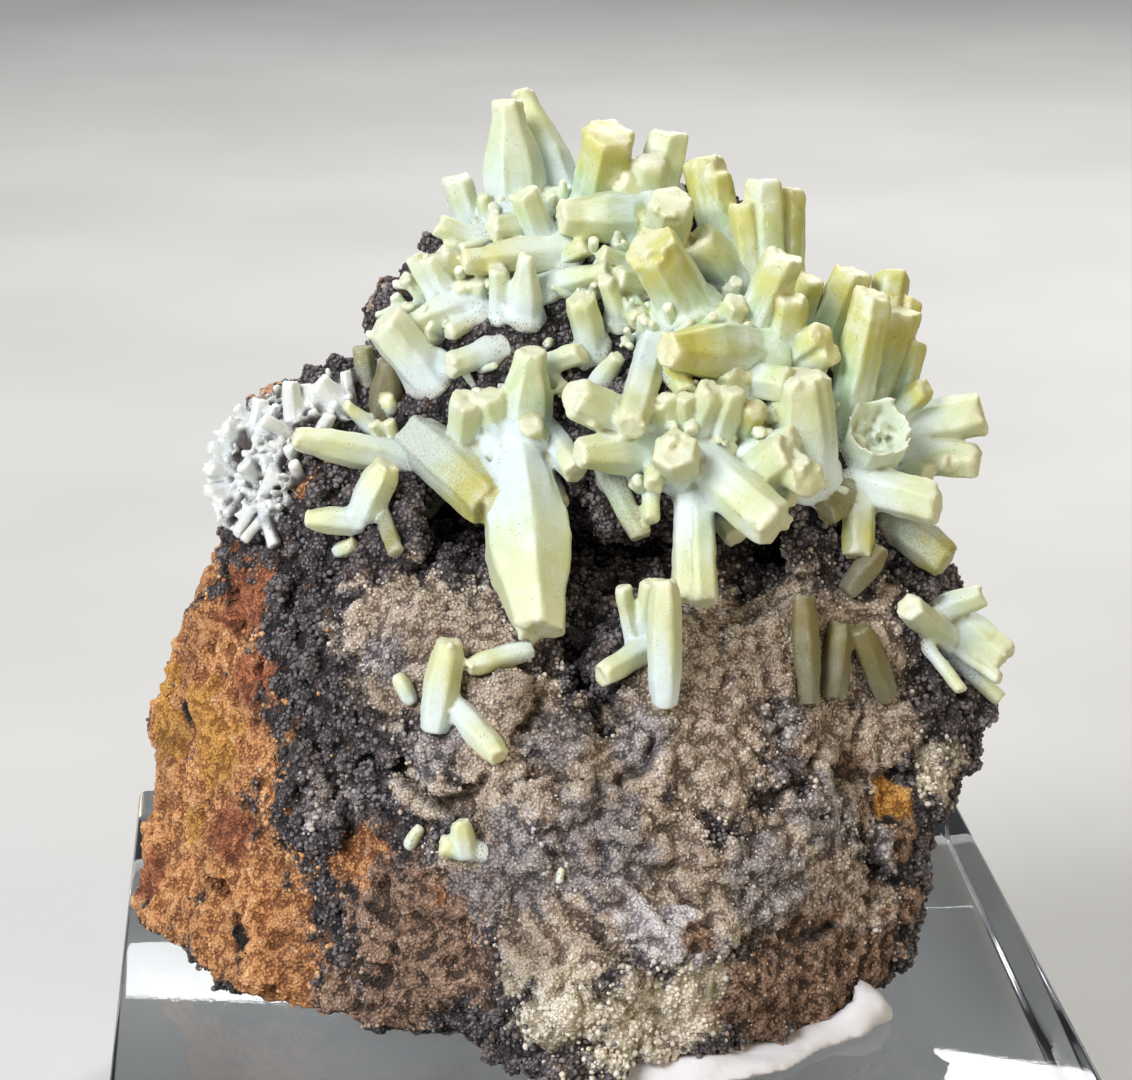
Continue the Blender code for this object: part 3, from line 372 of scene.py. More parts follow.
# Crystals that differ from the rest of their cluster, by their place in it
ODD_TINTS: dict[tuple[str, int], Tint] = {
    ("crown", 0): Tint(0.3, 0.5, 0.04, 0.9), ("crown", 1): Tint(0.55, 0.3, 0.06, 0.8),
    ("crown", 2): Tint(0.95, 1.0, 0.12, 0.2), ("upper_right", 0): Tint(0.95, 0.9, 0.15, 0.1),
    ("upper_right", 3): Tint(0.6, 0.75, 0.03, 0.5), ("upper_left", 0): Tint(0.75, 0.05, 0.12, 0.4),
    ("west_spray", 0): Tint(0.3, 0.8, 0.04, 0.9), ("west_spray", 8): Tint(1.0, 0.4, 0.55, 0.4),
    ("west_spray", 9): Tint(0.45, 0.35, 0.0, 1.0), ("upper_middle", 8): Tint(0.95, 0.8, 0.3, 0.2),
    ("upper_middle", 12): Tint(1.0, 0.6, 0.2, 0.1), ("left_shoulder", 4): Tint(0.9, 0.5, 0.7, 0.0),
    ("left_shoulder", 6): Tint(0.6, 0.1, 0.9, 0.2), ("left_shoulder", 7): Tint(0.6, 0.1, 0.7, 0.2),
    ("centre_spray", 5): Tint(0.9, 0.7, 0.45, 0.0), ("centre_spray", 23): Tint(0.4, 0.6, 0.6, 0.3),
    ("east_spray", 3): Tint(0.1, 0.25, 0.03, 1.0), ("east_spray", 4): Tint(0.9, 0.5, 0.35, 0.3),
    ("east_spray", 8): Tint(0.9, 0.5, 0.75, 0.0), ("east_spray", 9): Tint(0.95, 0.4, 0.6, 0.1),
}


@dataclass
class Growth:
    """A crystal set down on the stone, at its real size."""

    crystal: Crystal
    foot: Vector
    tip: Vector
    radius: float
    number: int
    tint: Tint
    cluster: str
    rooted: float = 0.9 * MM

    ROLL = 0.7
    TILT = 0.25
    TILT_STEP = 2.1
    SPIN_STEPS = 24
    RINGS = 9
    CAP_RINGS = (0.9, 0.62, 0.32)
    RIM = 0.2
    CAP_START = 0.95
    STRAIGHT = 0.8
    SHOULDER = 0.96
    UNEVEN = 0.06
    STEPS = (0.03, 0.1)
    COMPANION_WIDTHS = (19, 28, 38, 48)
    STEP_GRAIN = 0.55
    DOMES = (-0.1, 0.08)
    # The smaller barrels grown along it, as shares of its radius and length
    TURN_SPREAD = 0.25
    COMPANION_SIZES = (0.5, 0.7)
    COMPANION_EDGE = 0.97
    COMPANION_OFFSETS = (0.92, 1.14)
    COMPANION_REACHES = (0.72, 1.0)
    COMPANION_LEANS = (-0.015, 0.02)
    COMPANION_DOMES = (-0.08, 0.12)
    TAPERED_REACHES = (0.55, 0.85)
    TAPERED_LEAN = -0.05
    # The knobs on its end, with their radius in millimetres
    LEAST_KNOBBED = 16
    KNOBS_A_PIXEL = 0.3
    KNOB_LEVEL = 0.98
    KNOB_PLACES = (0.3, 0.84)
    KNOB_SIZES = (0.06, 0.14)
    KNOB_GAIN = 60.0
    KNOB_SINKS = (0.3, 0.7)
    # The bowl of the broken crystal, as shares of its radius and length
    BOWL_START = 0.7
    BOWL_REACH = 0.86
    BOWL_DEPTH = 0.9
    BOWL_GRAIN = 0.22
    BOWL_RAGGED = 0.5
    RIM_RAGGED = 0.35
    # The crumbs along the bowl's rim and in it, with their radius in millimetres
    CRUMBS = 26
    RIM_PLACES = (0.84, 0.98)
    RIM_DROP = 0.05
    RIM_SIZES = (0.07, 0.14)
    BOWL_PLACES = (0.0, 0.6)
    BOWL_DROPS = (0.45, 0.7)
    BOWL_SIZES = (0.1, 0.24)
    CRUMB_FLATNESS = 0.7
    CRUMB_STRETCH = (0.8, 1.6)

    @property
    def axis(self) -> Vector:
        """Which way it grows."""
        return (self.tip - self.foot).normalized()

    @property
    def sunk(self) -> float:
        """How deep its foot goes into the stone."""
        return 0.0 if self.crystal.lying else self.rooted

    @property
    def length(self) -> float:
        """Its length, with what is in the stone."""
        return (self.tip - self.foot).length + self.sunk

    def place(self) -> Matrix:
        """Turn its own frame, with Z along it and the foot at the origin, into the real one."""
        stand = self.axis.to_track_quat("Z", "Y").to_matrix().to_4x4()
        roll = Matrix.Rotation(self.number * self.ROLL, 4, "Z")
        return Matrix.Translation(self.foot - self.axis * self.sunk) @ stand @ roll

    def local(self, points: Rows) -> Rows:
        """Points in the crystal's own frame.

        Args:
            points: One row for each point in the real frame.

        Returns:
            The same points, with Z along the crystal.
        """
        inverse = np.array(self.place().inverted())
        return points @ inverse[:3, :3].T + inverse[:3, 3]

    def share(self, along: float) -> float:
        """How wide the crystal is at one place along it.

        Args:
            along: The place, from 0 at the foot to 1 at the tip.

        Returns:
            The width there, as a share of the widest.
        """
        crystal = self.crystal
        if crystal.lying:
            ease = math.sin(math.pi * along) ** 0.5 if 0.0 < along < 1.0 else 0.0
            return crystal.foot_share + (1.0 - crystal.foot_share) * ease
        if crystal.tip_share > self.STRAIGHT:
            return self.SHOULDER + (1.0 - self.SHOULDER) * math.sin(math.pi * along)
        end = crystal.foot_share if along < crystal.belly else crystal.tip_share
        reach = crystal.belly if along < crystal.belly else 1.0 - crystal.belly
        away = abs(along - crystal.belly) / reach
        return end + (1.0 - end) * 0.5 * (1.0 + math.cos(math.pi * away ** 1.2))

    def profile(self, length: float, radius: float, dome: float) -> list[Pixel]:
        """The (radius, height) points of a turned side and end.

        Args:
            length: How long the body is.
            radius: How wide it is at its widest.
            dome: How far the middle of its end stands up, as a share of the radius.

        Returns:
            The points, from the middle of the foot to the middle of the end.
        """
        points = [(0.0, 0.0)]
        body = length - radius * self.RIM
        for ring in range(self.RINGS):
            along = ring / (self.RINGS - 1)
            points.append((radius * self.share(along), body * along))
        top = points[-1][0]
        for inner in self.CAP_RINGS:
            points.append((top * inner, length + radius * dome * (1.0 - inner)))
        points.append((0.0, length + radius * dome))
        return points

    def add_barrel(self, work: Work, offset: Vector, length: float, radius: float,
                   dome: float, lean: float, draw: Random) -> None:
        """Add one six sided barrel to a working mesh.

        Args:
            work: The working mesh.
            offset: Where its foot stands in the crystal's own frame.
            length: How long it is.
            radius: How wide it is at its widest.
            dome: How far the middle of its end stands up, as a share of the radius.
            lean: How far its tip leans outwards, in radians.
            draw: Where its small differences come from.
        """
        corners = [work.verts.new((r, 0.0, z)) for r, z in self.profile(length, radius, dome)]
        edges = [work.edges.new(pair) for pair in zip(corners, corners[1:])]
        bmesh.ops.spin(
            work, geom=corners + edges, axis=(0.0, 0.0, 1.0), cent=(0.0, 0.0, 0.0),
            steps=self.SPIN_STEPS, angle=math.tau, use_duplicate=False,
        )
        fresh = [vert for vert in work.verts if not vert.tag]
        tilt = self.TILT * math.sin(self.number * self.TILT_STEP)
        widths = [1.0 + draw.uniform(-self.UNEVEN, self.UNEVEN) for _ in range(SIDES)]
        step = radius * draw.uniform(*self.STEPS)
        shift = Vector((draw.uniform(0.0, 50.0), draw.uniform(0.0, 50.0), self.number * 1.3))
        for vert in fresh:
            self.shape_corner(vert, widths, radius, length, tilt, step, shift)
        outward = offset.normalized() if offset.length > 0.0 else Vector((1.0, 0.0, 0.0))
        turn = Matrix.Rotation(lean, 4, Vector((0.0, 0.0, 1.0)).cross(outward))
        bmesh.ops.transform(work, matrix=Matrix.Translation(offset) @ turn, verts=fresh)
        for vert in fresh:
            vert.tag = True

    def shape_corner(self, vert: bmesh.types.BMVert, widths: Sequence[float], radius: float,
                     length: float, tilt: float, step: float, shift: Vector) -> None:
        """Press one point of a turned barrel to a hexagon, and break its end into steps.

        Args:
            vert: The point.
            widths: How far out each of the six corners stands.
            radius: How wide the barrel is at its widest.
            length: How long it is.
            tilt: How steeply its end slopes.
            step: How high the steps of its end are.
            shift: Where in the noise its steps are read.
        """
        away = math.hypot(vert.co.x, vert.co.y)
        if away > 0.0:
            angle = math.atan2(vert.co.y, vert.co.x) % math.tau
            sector = angle / (math.tau / SIDES)
            corner = int(sector) % SIDES
            part = sector - int(sector)
            inner = math.cos(math.pi / SIDES) / math.cos((part - 0.5) * math.tau / SIDES)
            width = widths[corner] * (1.0 - part) + widths[(corner + 1) % SIDES] * part
            vert.co.x *= inner * width
            vert.co.y *= inner * width
        if vert.co.z > length * self.CAP_START:
            level = noise.cell(vert.co / (radius * self.STEP_GRAIN) + shift)
            vert.co.z += vert.co.x * tilt + step * level

    def shells(self) -> Work:
        """The crystal's main barrel, the smaller ones grown along it and the knobs on its end.

        Returns:
            A working mesh with them, at their real place.
        """
        draw = Random(self.number * 17 + 5)
        own = bmesh.new()
        dome = draw.uniform(*self.DOMES)
        self.add_barrel(own, Vector((0.0, 0.0, 0.0)), self.length, self.radius, dome, 0.0, draw)
        self.add_companions(own, draw)
        self.add_knobs(own, draw)
        if self.crystal.hollow:
            self.sink_end(own)
            self.add_crumbs(own, draw)
        bmesh.ops.transform(own, matrix=self.place(), verts=own.verts)
        return own

    def add_companions(self, work: Work, draw: Random) -> None:
        """Add the parallel barrels that give a crystal its grooves and stepped end.

        Args:
            work: The working mesh.
            draw: Where their differences come from.
        """
        count = sum(self.crystal.wide > least for least in self.COMPANION_WIDTHS)
        tapered = self.crystal.tip_share < self.STRAIGHT
        count = min(count, 1) if tapered else count
        for index in range(count):
            turn = draw.uniform(-self.TURN_SPREAD, self.TURN_SPREAD)
            angle = math.tau * (index + turn) / count + self.number
            size = draw.uniform(*self.COMPANION_SIZES)
            offset = Vector((math.cos(angle), math.sin(angle), 0.0))
            offset *= self.radius * (self.COMPANION_EDGE - size) * draw.uniform(*self.COMPANION_OFFSETS)
            reach = draw.uniform(*(self.TAPERED_REACHES if tapered else self.COMPANION_REACHES))
            lean = self.TAPERED_LEAN if tapered else draw.uniform(*self.COMPANION_LEANS)
            dome = draw.uniform(*self.COMPANION_DOMES)
            length = self.length * reach
            self.add_barrel(work, offset, length, self.radius * size, dome, lean, draw)

    def add_knobs(self, work: Work, draw: Random) -> None:
        """Add the small knobs that roughen a crystal's end.

        Args:
            work: The working mesh.
            draw: Where the knobs are drawn from.
        """
        if self.crystal.wide < self.LEAST_KNOBBED:
            return
        top = self.radius * self.share(self.KNOB_LEVEL)
        for _ in range(int(self.crystal.wide * self.KNOBS_A_PIXEL)):
            angle = draw.uniform(0.0, math.tau)
            out = top * draw.uniform(*self.KNOB_PLACES)
            size = draw.uniform(*self.KNOB_SIZES) * MM * (1.0 + self.crystal.wide / self.KNOB_GAIN)
            height = self.length - size * draw.uniform(*self.KNOB_SINKS)
            place = Matrix.Translation((math.cos(angle) * out, math.sin(angle) * out, height))
            made = bmesh.ops.create_icosphere(work, subdivisions=1, radius=size, matrix=place)
            for vert in made["verts"]:
                vert.tag = True

    def sink_end(self, work: Work) -> None:
        """Press the end of a broken crystal into a rough bowl.

        Args:
            work: The working mesh.
        """
        radius = self.radius
        for vert in work.verts:
            away = math.hypot(vert.co.x, vert.co.y) / (radius * self.BOWL_REACH)
            if vert.co.z < self.length * self.BOWL_START:
                continue
            ragged = noise.noise(vert.co / (radius * self.BOWL_GRAIN))
            if away < 1.0:
                depth = self.BOWL_DEPTH + self.BOWL_RAGGED * ragged
                vert.co.z -= radius * depth * (1.0 - away ** 4)
            else:
                vert.co.z += radius * self.RIM_RAGGED * ragged

    def add_crumbs(self, work: Work, draw: Random) -> None:
        """Scatter crumbs in the bowl of a broken crystal and along its rim.

        Args:
            work: The working mesh.
            draw: Where the crumbs are drawn from.
        """
        for number in range(self.CRUMBS):
            angle = draw.uniform(0.0, math.tau)
            on_rim = number % 2 == 0
            out = self.radius * draw.uniform(*(self.RIM_PLACES if on_rim else self.BOWL_PLACES))
            drop = self.RIM_DROP if on_rim else draw.uniform(*self.BOWL_DROPS)
            height = self.length - self.radius * drop
            size = draw.uniform(*(self.RIM_SIZES if on_rim else self.BOWL_SIZES)) * MM
            spot = Vector((math.cos(angle) * out, math.sin(angle) * out, height))
            turn = Matrix.Rotation(draw.uniform(0.0, math.tau), 4, spot)
            shape = Matrix.Diagonal((1.0, self.CRUMB_FLATNESS, draw.uniform(*self.CRUMB_STRETCH), 1.0))
            place = Matrix.Translation(spot) @ turn @ shape
            bmesh.ops.create_icosphere(work, subdivisions=1, radius=size, matrix=place)


class Stone:
    """The matrix stone's solid, as what everything else is set down on."""

    FOOT_STEPS = 12
    STEP_SHARE = 0.02
    MIDDLE = (620.0, 560.0)
    LYING_LIFT = 0.35
    GROWING_LIFT = 0.7
    CORNER_GAIN = math.pi / 3.0
    SKIN = 0.03 * MM

    def __init__(self, node: Piece) -> None:
        """Read the solid's faces.

        Args:
            node: The stone's own solid.
        """
        self.node = node
        self.tree = tree_of(node.data)

    def near(self, px: float, py: float) -> float | None:
        """How near the stone is at a place in the frame, or None beside it."""
        hit = self.tree.ray_cast(PHOTO.EYE, PHOTO.sight(px, py).normalized())[0]
        return None if hit is None else PHOTO.near_of(hit)

    def foot_near(self, px: float, py: float) -> float:
        """How near the stone is at a foot, searching towards the stone's middle from beside it."""
        for step in range(self.FOOT_STEPS):
            share = step * self.STEP_SHARE
            near = self.near(px + (self.MIDDLE[0] - px) * share, py + (self.MIDDLE[1] - py) * share)
            if near is not None:
                return near
        return 0.0

    def point(self, px: float, py: float) -> Vector:
        """The point of the stone that is seen at a place in the frame."""
        return PHOTO.seen(px, py, self.foot_near(px, py))

    def set_down(self, crystal: Crystal, number: int, cluster: str, place: int) -> Growth:
        """Stand a crystal on the stone, clear of it along its length.

        Args:
            crystal: The crystal as the photograph shows it.
            number: Its number in the whole specimen, which sets its roll.
            cluster: The name of its cluster.
            place: Its place in the cluster.

        Returns:
            The crystal at its real place and size.
        """
        half = crystal.wide * 0.5 * PHOTO.pixel / MM
        base = self.foot_near(*crystal.foot)
        if crystal.lying:
            base += half * self.LYING_LIFT
        lift = half * (self.LYING_LIFT if crystal.lying else self.GROWING_LIFT)
        tip = base + crystal.rise
        for share in (0.5, 0.75, 1.0):
            px = crystal.foot[0] + (crystal.tip[0] - crystal.foot[0]) * share
            py = crystal.foot[1] + (crystal.tip[1] - crystal.foot[1]) * share
            under = self.near(px, py)
            if under is not None:
                tip = max(tip, base + (under + lift - base) / share)
        depth = PHOTO.FOCUS - tip * MM
        radius = crystal.wide * 0.5 * depth / PHOTO.FOCAL_PIXELS * self.CORNER_GAIN + self.SKIN
        tint = ODD_TINTS.get((cluster, place), CLUSTER_TINTS[cluster])
        foot_point = PHOTO.seen(*crystal.foot, base)
        return Growth(crystal, foot_point, PHOTO.seen(*crystal.tip, tip), radius, number, tint, cluster)


def tree_of(mesh: Mesh) -> BVHTree:
    """A search tree over a mesh's faces."""
    places = [vert.co.copy() for vert in mesh.vertices]
    return BVHTree.FromPolygons(places, [tuple(face.vertices) for face in mesh.polygons])


def points_of(mesh: Mesh) -> Rows:
    """The places of a mesh's points, one row each."""
    flat = np.empty(len(mesh.vertices) * 3)
    mesh.vertices.foreach_get("co", flat)
    return flat.reshape(-1, 3)


def normals_of(mesh: Mesh) -> Rows:
    """The normals at a mesh's points, one row each."""
    flat = np.empty(len(mesh.vertices) * 3)
    mesh.vertex_normals.foreach_get("vector", flat)
    return flat.reshape(-1, 3)


def put_points(mesh: Mesh, points: Rows) -> None:
    """Move a mesh's points to new places."""
    mesh.vertices.foreach_set("co", points.reshape(-1))
    mesh.update()


def put_value(mesh: Mesh, name: str, values: Rows) -> None:
    """Keep a value at each of a mesh's points, for its material to read."""
    layer = mesh.attributes.new(name, "FLOAT", "POINT")
    layer.data.foreach_set("value", values.astype(np.float32))


def put_vector(mesh: Mesh, name: str, values: Rows) -> None:
    """Keep a vector at each of a mesh's points, for its material to read."""
    layer = mesh.attributes.new(name, "FLOAT_VECTOR", "POINT")
    layer.data.foreach_set("vector", values.astype(np.float32).reshape(-1))


def ridges_of(mesh: Mesh, rounds: int) -> Rows:
    """How far each point of a mesh stands out from its neighbours.

    Args:
        mesh: The mesh.
        rounds: How many times the answer is averaged over the neighbours.

    Returns:
        Positive on edges and negative in grooves, about one at a sharp edge.
    """
    points = points_of(mesh)
    normals = normals_of(mesh)
    pairs = np.empty(len(mesh.edges) * 2, dtype=np.int64)
    mesh.edges.foreach_get("vertices", pairs)
    first, second = pairs.reshape(-1, 2).T
    way = points[second] - points[first]
    reach = np.linalg.norm(way, axis=1) + 1e-9
    bend = np.zeros(len(points))
    count = np.zeros(len(points))
    np.add.at(bend, first, -np.einsum("ij,ij->i", normals[first], way) / reach)
    np.add.at(bend, second, np.einsum("ij,ij->i", normals[second], way) / reach)
    np.add.at(count, first, 1.0)
    np.add.at(count, second, 1.0)
    bend /= np.maximum(count, 1.0)
    for _ in range(rounds):
        total = bend.copy()
        np.add.at(total, first, bend[second])
        np.add.at(total, second, bend[first])
        bend = total / (count + 1.0)
    return bend * 4.0


def new_piece(name: str, mesh: Mesh) -> Piece:
    """Put a mesh in the scene under a name."""
    piece = bpy.data.objects.new(name, mesh)
    bpy.context.scene.collection.objects.link(piece)
    return piece


def from_work(name: str, work: Work) -> Piece:
    """Turn a working mesh into a piece.

    Args:
        name: The piece's name.
        work: The working mesh, which is freed.

    Returns:
        The piece.
    """
    mesh = bpy.data.meshes.new(name)
    work.to_mesh(mesh)
    work.free()
    return new_piece(name, mesh)


def mesh_piece(name: str, verts: Rows, faces: Rows) -> Piece:
    """Make a piece from arrays of points and of three-sided faces.

    Args:
        name: The piece's name.
        verts: One row for each point.
        faces: One row of three point numbers for each face.

    Returns:
        The piece.
    """
    mesh = bpy.data.meshes.new(name)
    mesh.vertices.add(len(verts))
    mesh.vertices.foreach_set("co", verts.astype(np.float32).reshape(-1))
    mesh.loops.add(len(faces) * 3)
    mesh.loops.foreach_set("vertex_index", faces.astype(np.int32).reshape(-1))
    mesh.polygons.add(len(faces))
    mesh.polygons.foreach_set("loop_start", np.arange(0, len(faces) * 3, 3, dtype=np.int32))
    mesh.update(calc_edges=True)
    return new_piece(name, mesh)


class Shells:
    """Closed bodies gathered as points and three-sided faces, until they are made one piece."""

    def __init__(self) -> None:
        """Start with none."""
        self.points: list[Rows] = []
        self.faces: list[Rows] = []
        self.count = 0

    def take(self, work: Work) -> None:
        """Add the bodies of a working mesh, and free it.

        Args:
            work: The working mesh.
        """
        bmesh.ops.triangulate(work, faces=work.faces)
        spare = bpy.data.meshes.new("spare")
        work.to_mesh(spare)
        work.free()
        corners = np.empty(len(spare.loops), dtype=np.int32)
        spare.loops.foreach_get("vertex_index", corners)
        self.points.append(points_of(spare))
        self.faces.append(corners.reshape(-1, 3) + self.count)
        self.count += len(spare.vertices)
        bpy.data.meshes.remove(spare)

    def piece(self, name: str) -> Piece:
        """Make one piece of them."""
        return mesh_piece(name, np.concatenate(self.points), np.concatenate(self.faces))


def apply_modifiers(piece: Piece) -> None:
    """Replace a piece's mesh by what its modifiers make of it.

    Args:
        piece: The piece.
    """
    bpy.context.view_layer.update()
    graph = bpy.context.evaluated_depsgraph_get()
    made = bpy.data.meshes.new_from_object(piece.evaluated_get(graph))
    old = piece.data
    piece.modifiers.clear()
    piece.data = made
    bpy.data.meshes.remove(old)
    made.name = piece.name


SMOOTHING = 0.5


def reskin(piece: Piece, grain: float, softening: int, kept: float = 1.0) -> None:
    """Weld a piece's overlapping bodies into one even skin, soften it and thin it out.

    Args:
        piece: The piece.
        grain: How far apart the new skin's points are.
        softening: How many times the skin is smoothed.
        kept: The share of its faces that is kept.
    """
    skin = piece.modifiers.new("skin", "REMESH")
    skin.mode = "VOXEL"
    skin.voxel_size = grain
    soften = piece.modifiers.new("soften", "SMOOTH")
    soften.factor = SMOOTHING
    soften.iterations = softening
    if kept < 1.0:
        thin = piece.modifiers.new("thin", "DECIMATE")
        thin.ratio = kept
    apply_modifiers(piece)


def settle(piece: Piece, slot: str, dressing: Material, *nodes: str) -> None:
    """Shade a piece smooth, dress it, hang it on the body that it rides on, and hide the solids that it
    stands for.

    Args:
        piece: The piece.
        slot: Not used.
        dressing: Its material.
        nodes: The solids that it stands for.
    """
    piece.data.validate(clean_customdata=False)
    piece.data.shade_smooth()
    piece.data.materials.clear()
    piece.data.materials.append(dressing)
    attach(piece, BODY)
    if nodes:
        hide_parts(*nodes)
    corners = len(piece.data.loops)
    LOG.info("%s: %d triangles", piece.name, corners - 2 * len(piece.data.polygons))


class Board:
    """A material's nodes, with a short call for each kind that the finishes use."""

    def __init__(self, name: str) -> None:
        """Start a material with one Principled shader.

        Args:
            name: The material's name.
        """
        self.material = bpy.data.materials.new(name)
        self.material.use_nodes = True
        self.tree = self.material.node_tree
        self.shader = self.tree.nodes["Principled BSDF"]
        self.coords = self.tree.nodes.new("ShaderNodeTexCoord").outputs["Object"]

    def link(self, value: Value, socket: Socket) -> None:
        """Join a socket to another, or set it.

        Args:
            value: The other socket, a number or vector, or a colour in six hexadecimal digits.
            socket: The socket.
        """
        if isinstance(value, Socket):
            self.tree.links.new(value, socket)
        else:
            socket.default_value = hex_colour(value) if isinstance(value, str) else value

    def noise(self, size: float, detail: float = 3.0, rough: float = 0.55,
              coords: Socket | None = None) -> Socket:
        """Noise with lumps of a real size.

        Args:
            size: How large the lumps are.
            detail: How many finer layers there are.
            rough: How strong the finer layers are.
            coords: Where it is read, or None for the piece's own coordinates.

        Returns:
            Values mostly between 0.2 and 0.8.
        """
        node = self.tree.nodes.new("ShaderNodeTexNoise")
        node.inputs["Scale"].default_value = 1.0 / size
        node.inputs["Detail"].default_value = detail
        node.inputs["Roughness"].default_value = rough
        self.link(coords or self.coords, node.inputs["Vector"])
        return node.outputs["Fac"]

    def cells(self, size: float) -> Socket:
        """How far a place is from the middle of its cell.

        Args:
            size: How large the cells are.

        Returns:
            The distance, as a share of the size.
        """
        node = self.tree.nodes.new("ShaderNodeTexVoronoi")
        node.inputs["Scale"].default_value = 1.0 / size
        self.link(self.coords, node.inputs["Vector"])
        return node.outputs["Distance"]

    def value(self, name: str, output: str = "Fac") -> Socket:
        """A value that the mesh keeps at its points."""
        node = self.tree.nodes.new("ShaderNodeAttribute")
        node.attribute_name = name
        return node.outputs[output]

    def math(self, operation: str, first: Value, second: Value) -> Socket:
        """One sum on two numbers.

        Args:
            operation: Which sum.
            first: The first number.
            second: The second number.

        Returns:
            Its result.
        """
        node = self.tree.nodes.new("ShaderNodeMath")
        node.operation = operation
        self.link(first, node.inputs[0])
        self.link(second, node.inputs[1])
        return node.outputs[0]

    def add(self, first: Value, second: Value) -> Socket:
        """Add two numbers."""
        return self.math("ADD", first, second)

    def rest(self, value: Value) -> Socket:
        """What a number lacks of one."""
        return self.math("SUBTRACT", 1.0, value)

    def product(self, *values: Value) -> Socket:
        """Multiply numbers together.

        Args:
            values: Two numbers or more.

        Returns:
            Their product.
        """
        total = values[0]
        for value in values[1:]:
            total = self.math("MULTIPLY", total, value)
        return total

    def swing(self, value: Socket, reach: float) -> Socket:
        """A noise value moved to swing about zero, as far as the reach on each side."""
        return self.product(self.math("SUBTRACT", value, 0.5), reach * 2.0)

    def ease(self, value: Socket, low: float, high: float, top: float = 1.0) -> Socket:
        """Ease a value from 0 to a top.

        Args:
            value: The value.
            low: Where it starts to rise.
            high: Where it reaches the top.
            top: The top.

        Returns:
            The eased value.
        """
        node = self.tree.nodes.new("ShaderNodeMapRange")
        node.interpolation_type = "SMOOTHSTEP"
        self.link(value, node.inputs["Value"])
        node.inputs["From Min"].default_value = low
        node.inputs["From Max"].default_value = high
        node.inputs["To Max"].default_value = top
        return node.outputs["Result"]

    def mix(self, share: Value, first: Value, second: Value, blend: str = "MIX") -> Socket:
        """Mix two colours.

        Args:
            share: How much of the second there is.
            first: The first colour.
            second: The second colour.
            blend: How the second goes over the first.

        Returns:
            The mixed colour.
        """
        node = self.tree.nodes.new("ShaderNodeMix")
        node.data_type = "RGBA"
        node.blend_type = blend
        self.link(share, node.inputs[0])
        self.link(first, node.inputs[6])
        self.link(second, node.inputs[7])
        return node.outputs[2]

    def bump(self, height: Socket, depth: float, strength: float,
             under: Socket | None = None) -> Socket:
        """Fine relief of a real depth.

        Args:
            height: From low at 0 to high at 1.
            depth: How deep it is.
            strength: How much of it shows.
            under: Coarser relief that it goes on, or None.

        Returns:
            The normals.
        """
        node = self.tree.nodes.new("ShaderNodeBump")
        node.inputs["Distance"].default_value = depth
        node.inputs["Strength"].default_value = strength
        self.link(height, node.inputs["Height"])
        if under is not None:
            self.link(under, node.inputs["Normal"])
        return node.outputs["Normal"]

    def set(self, **values: Value | Triple) -> None:
        """Set the shader's sockets, named with underscores for spaces."""
        for name, value in values.items():
            self.link(value, self.shader.inputs[name.replace("_", " ")])


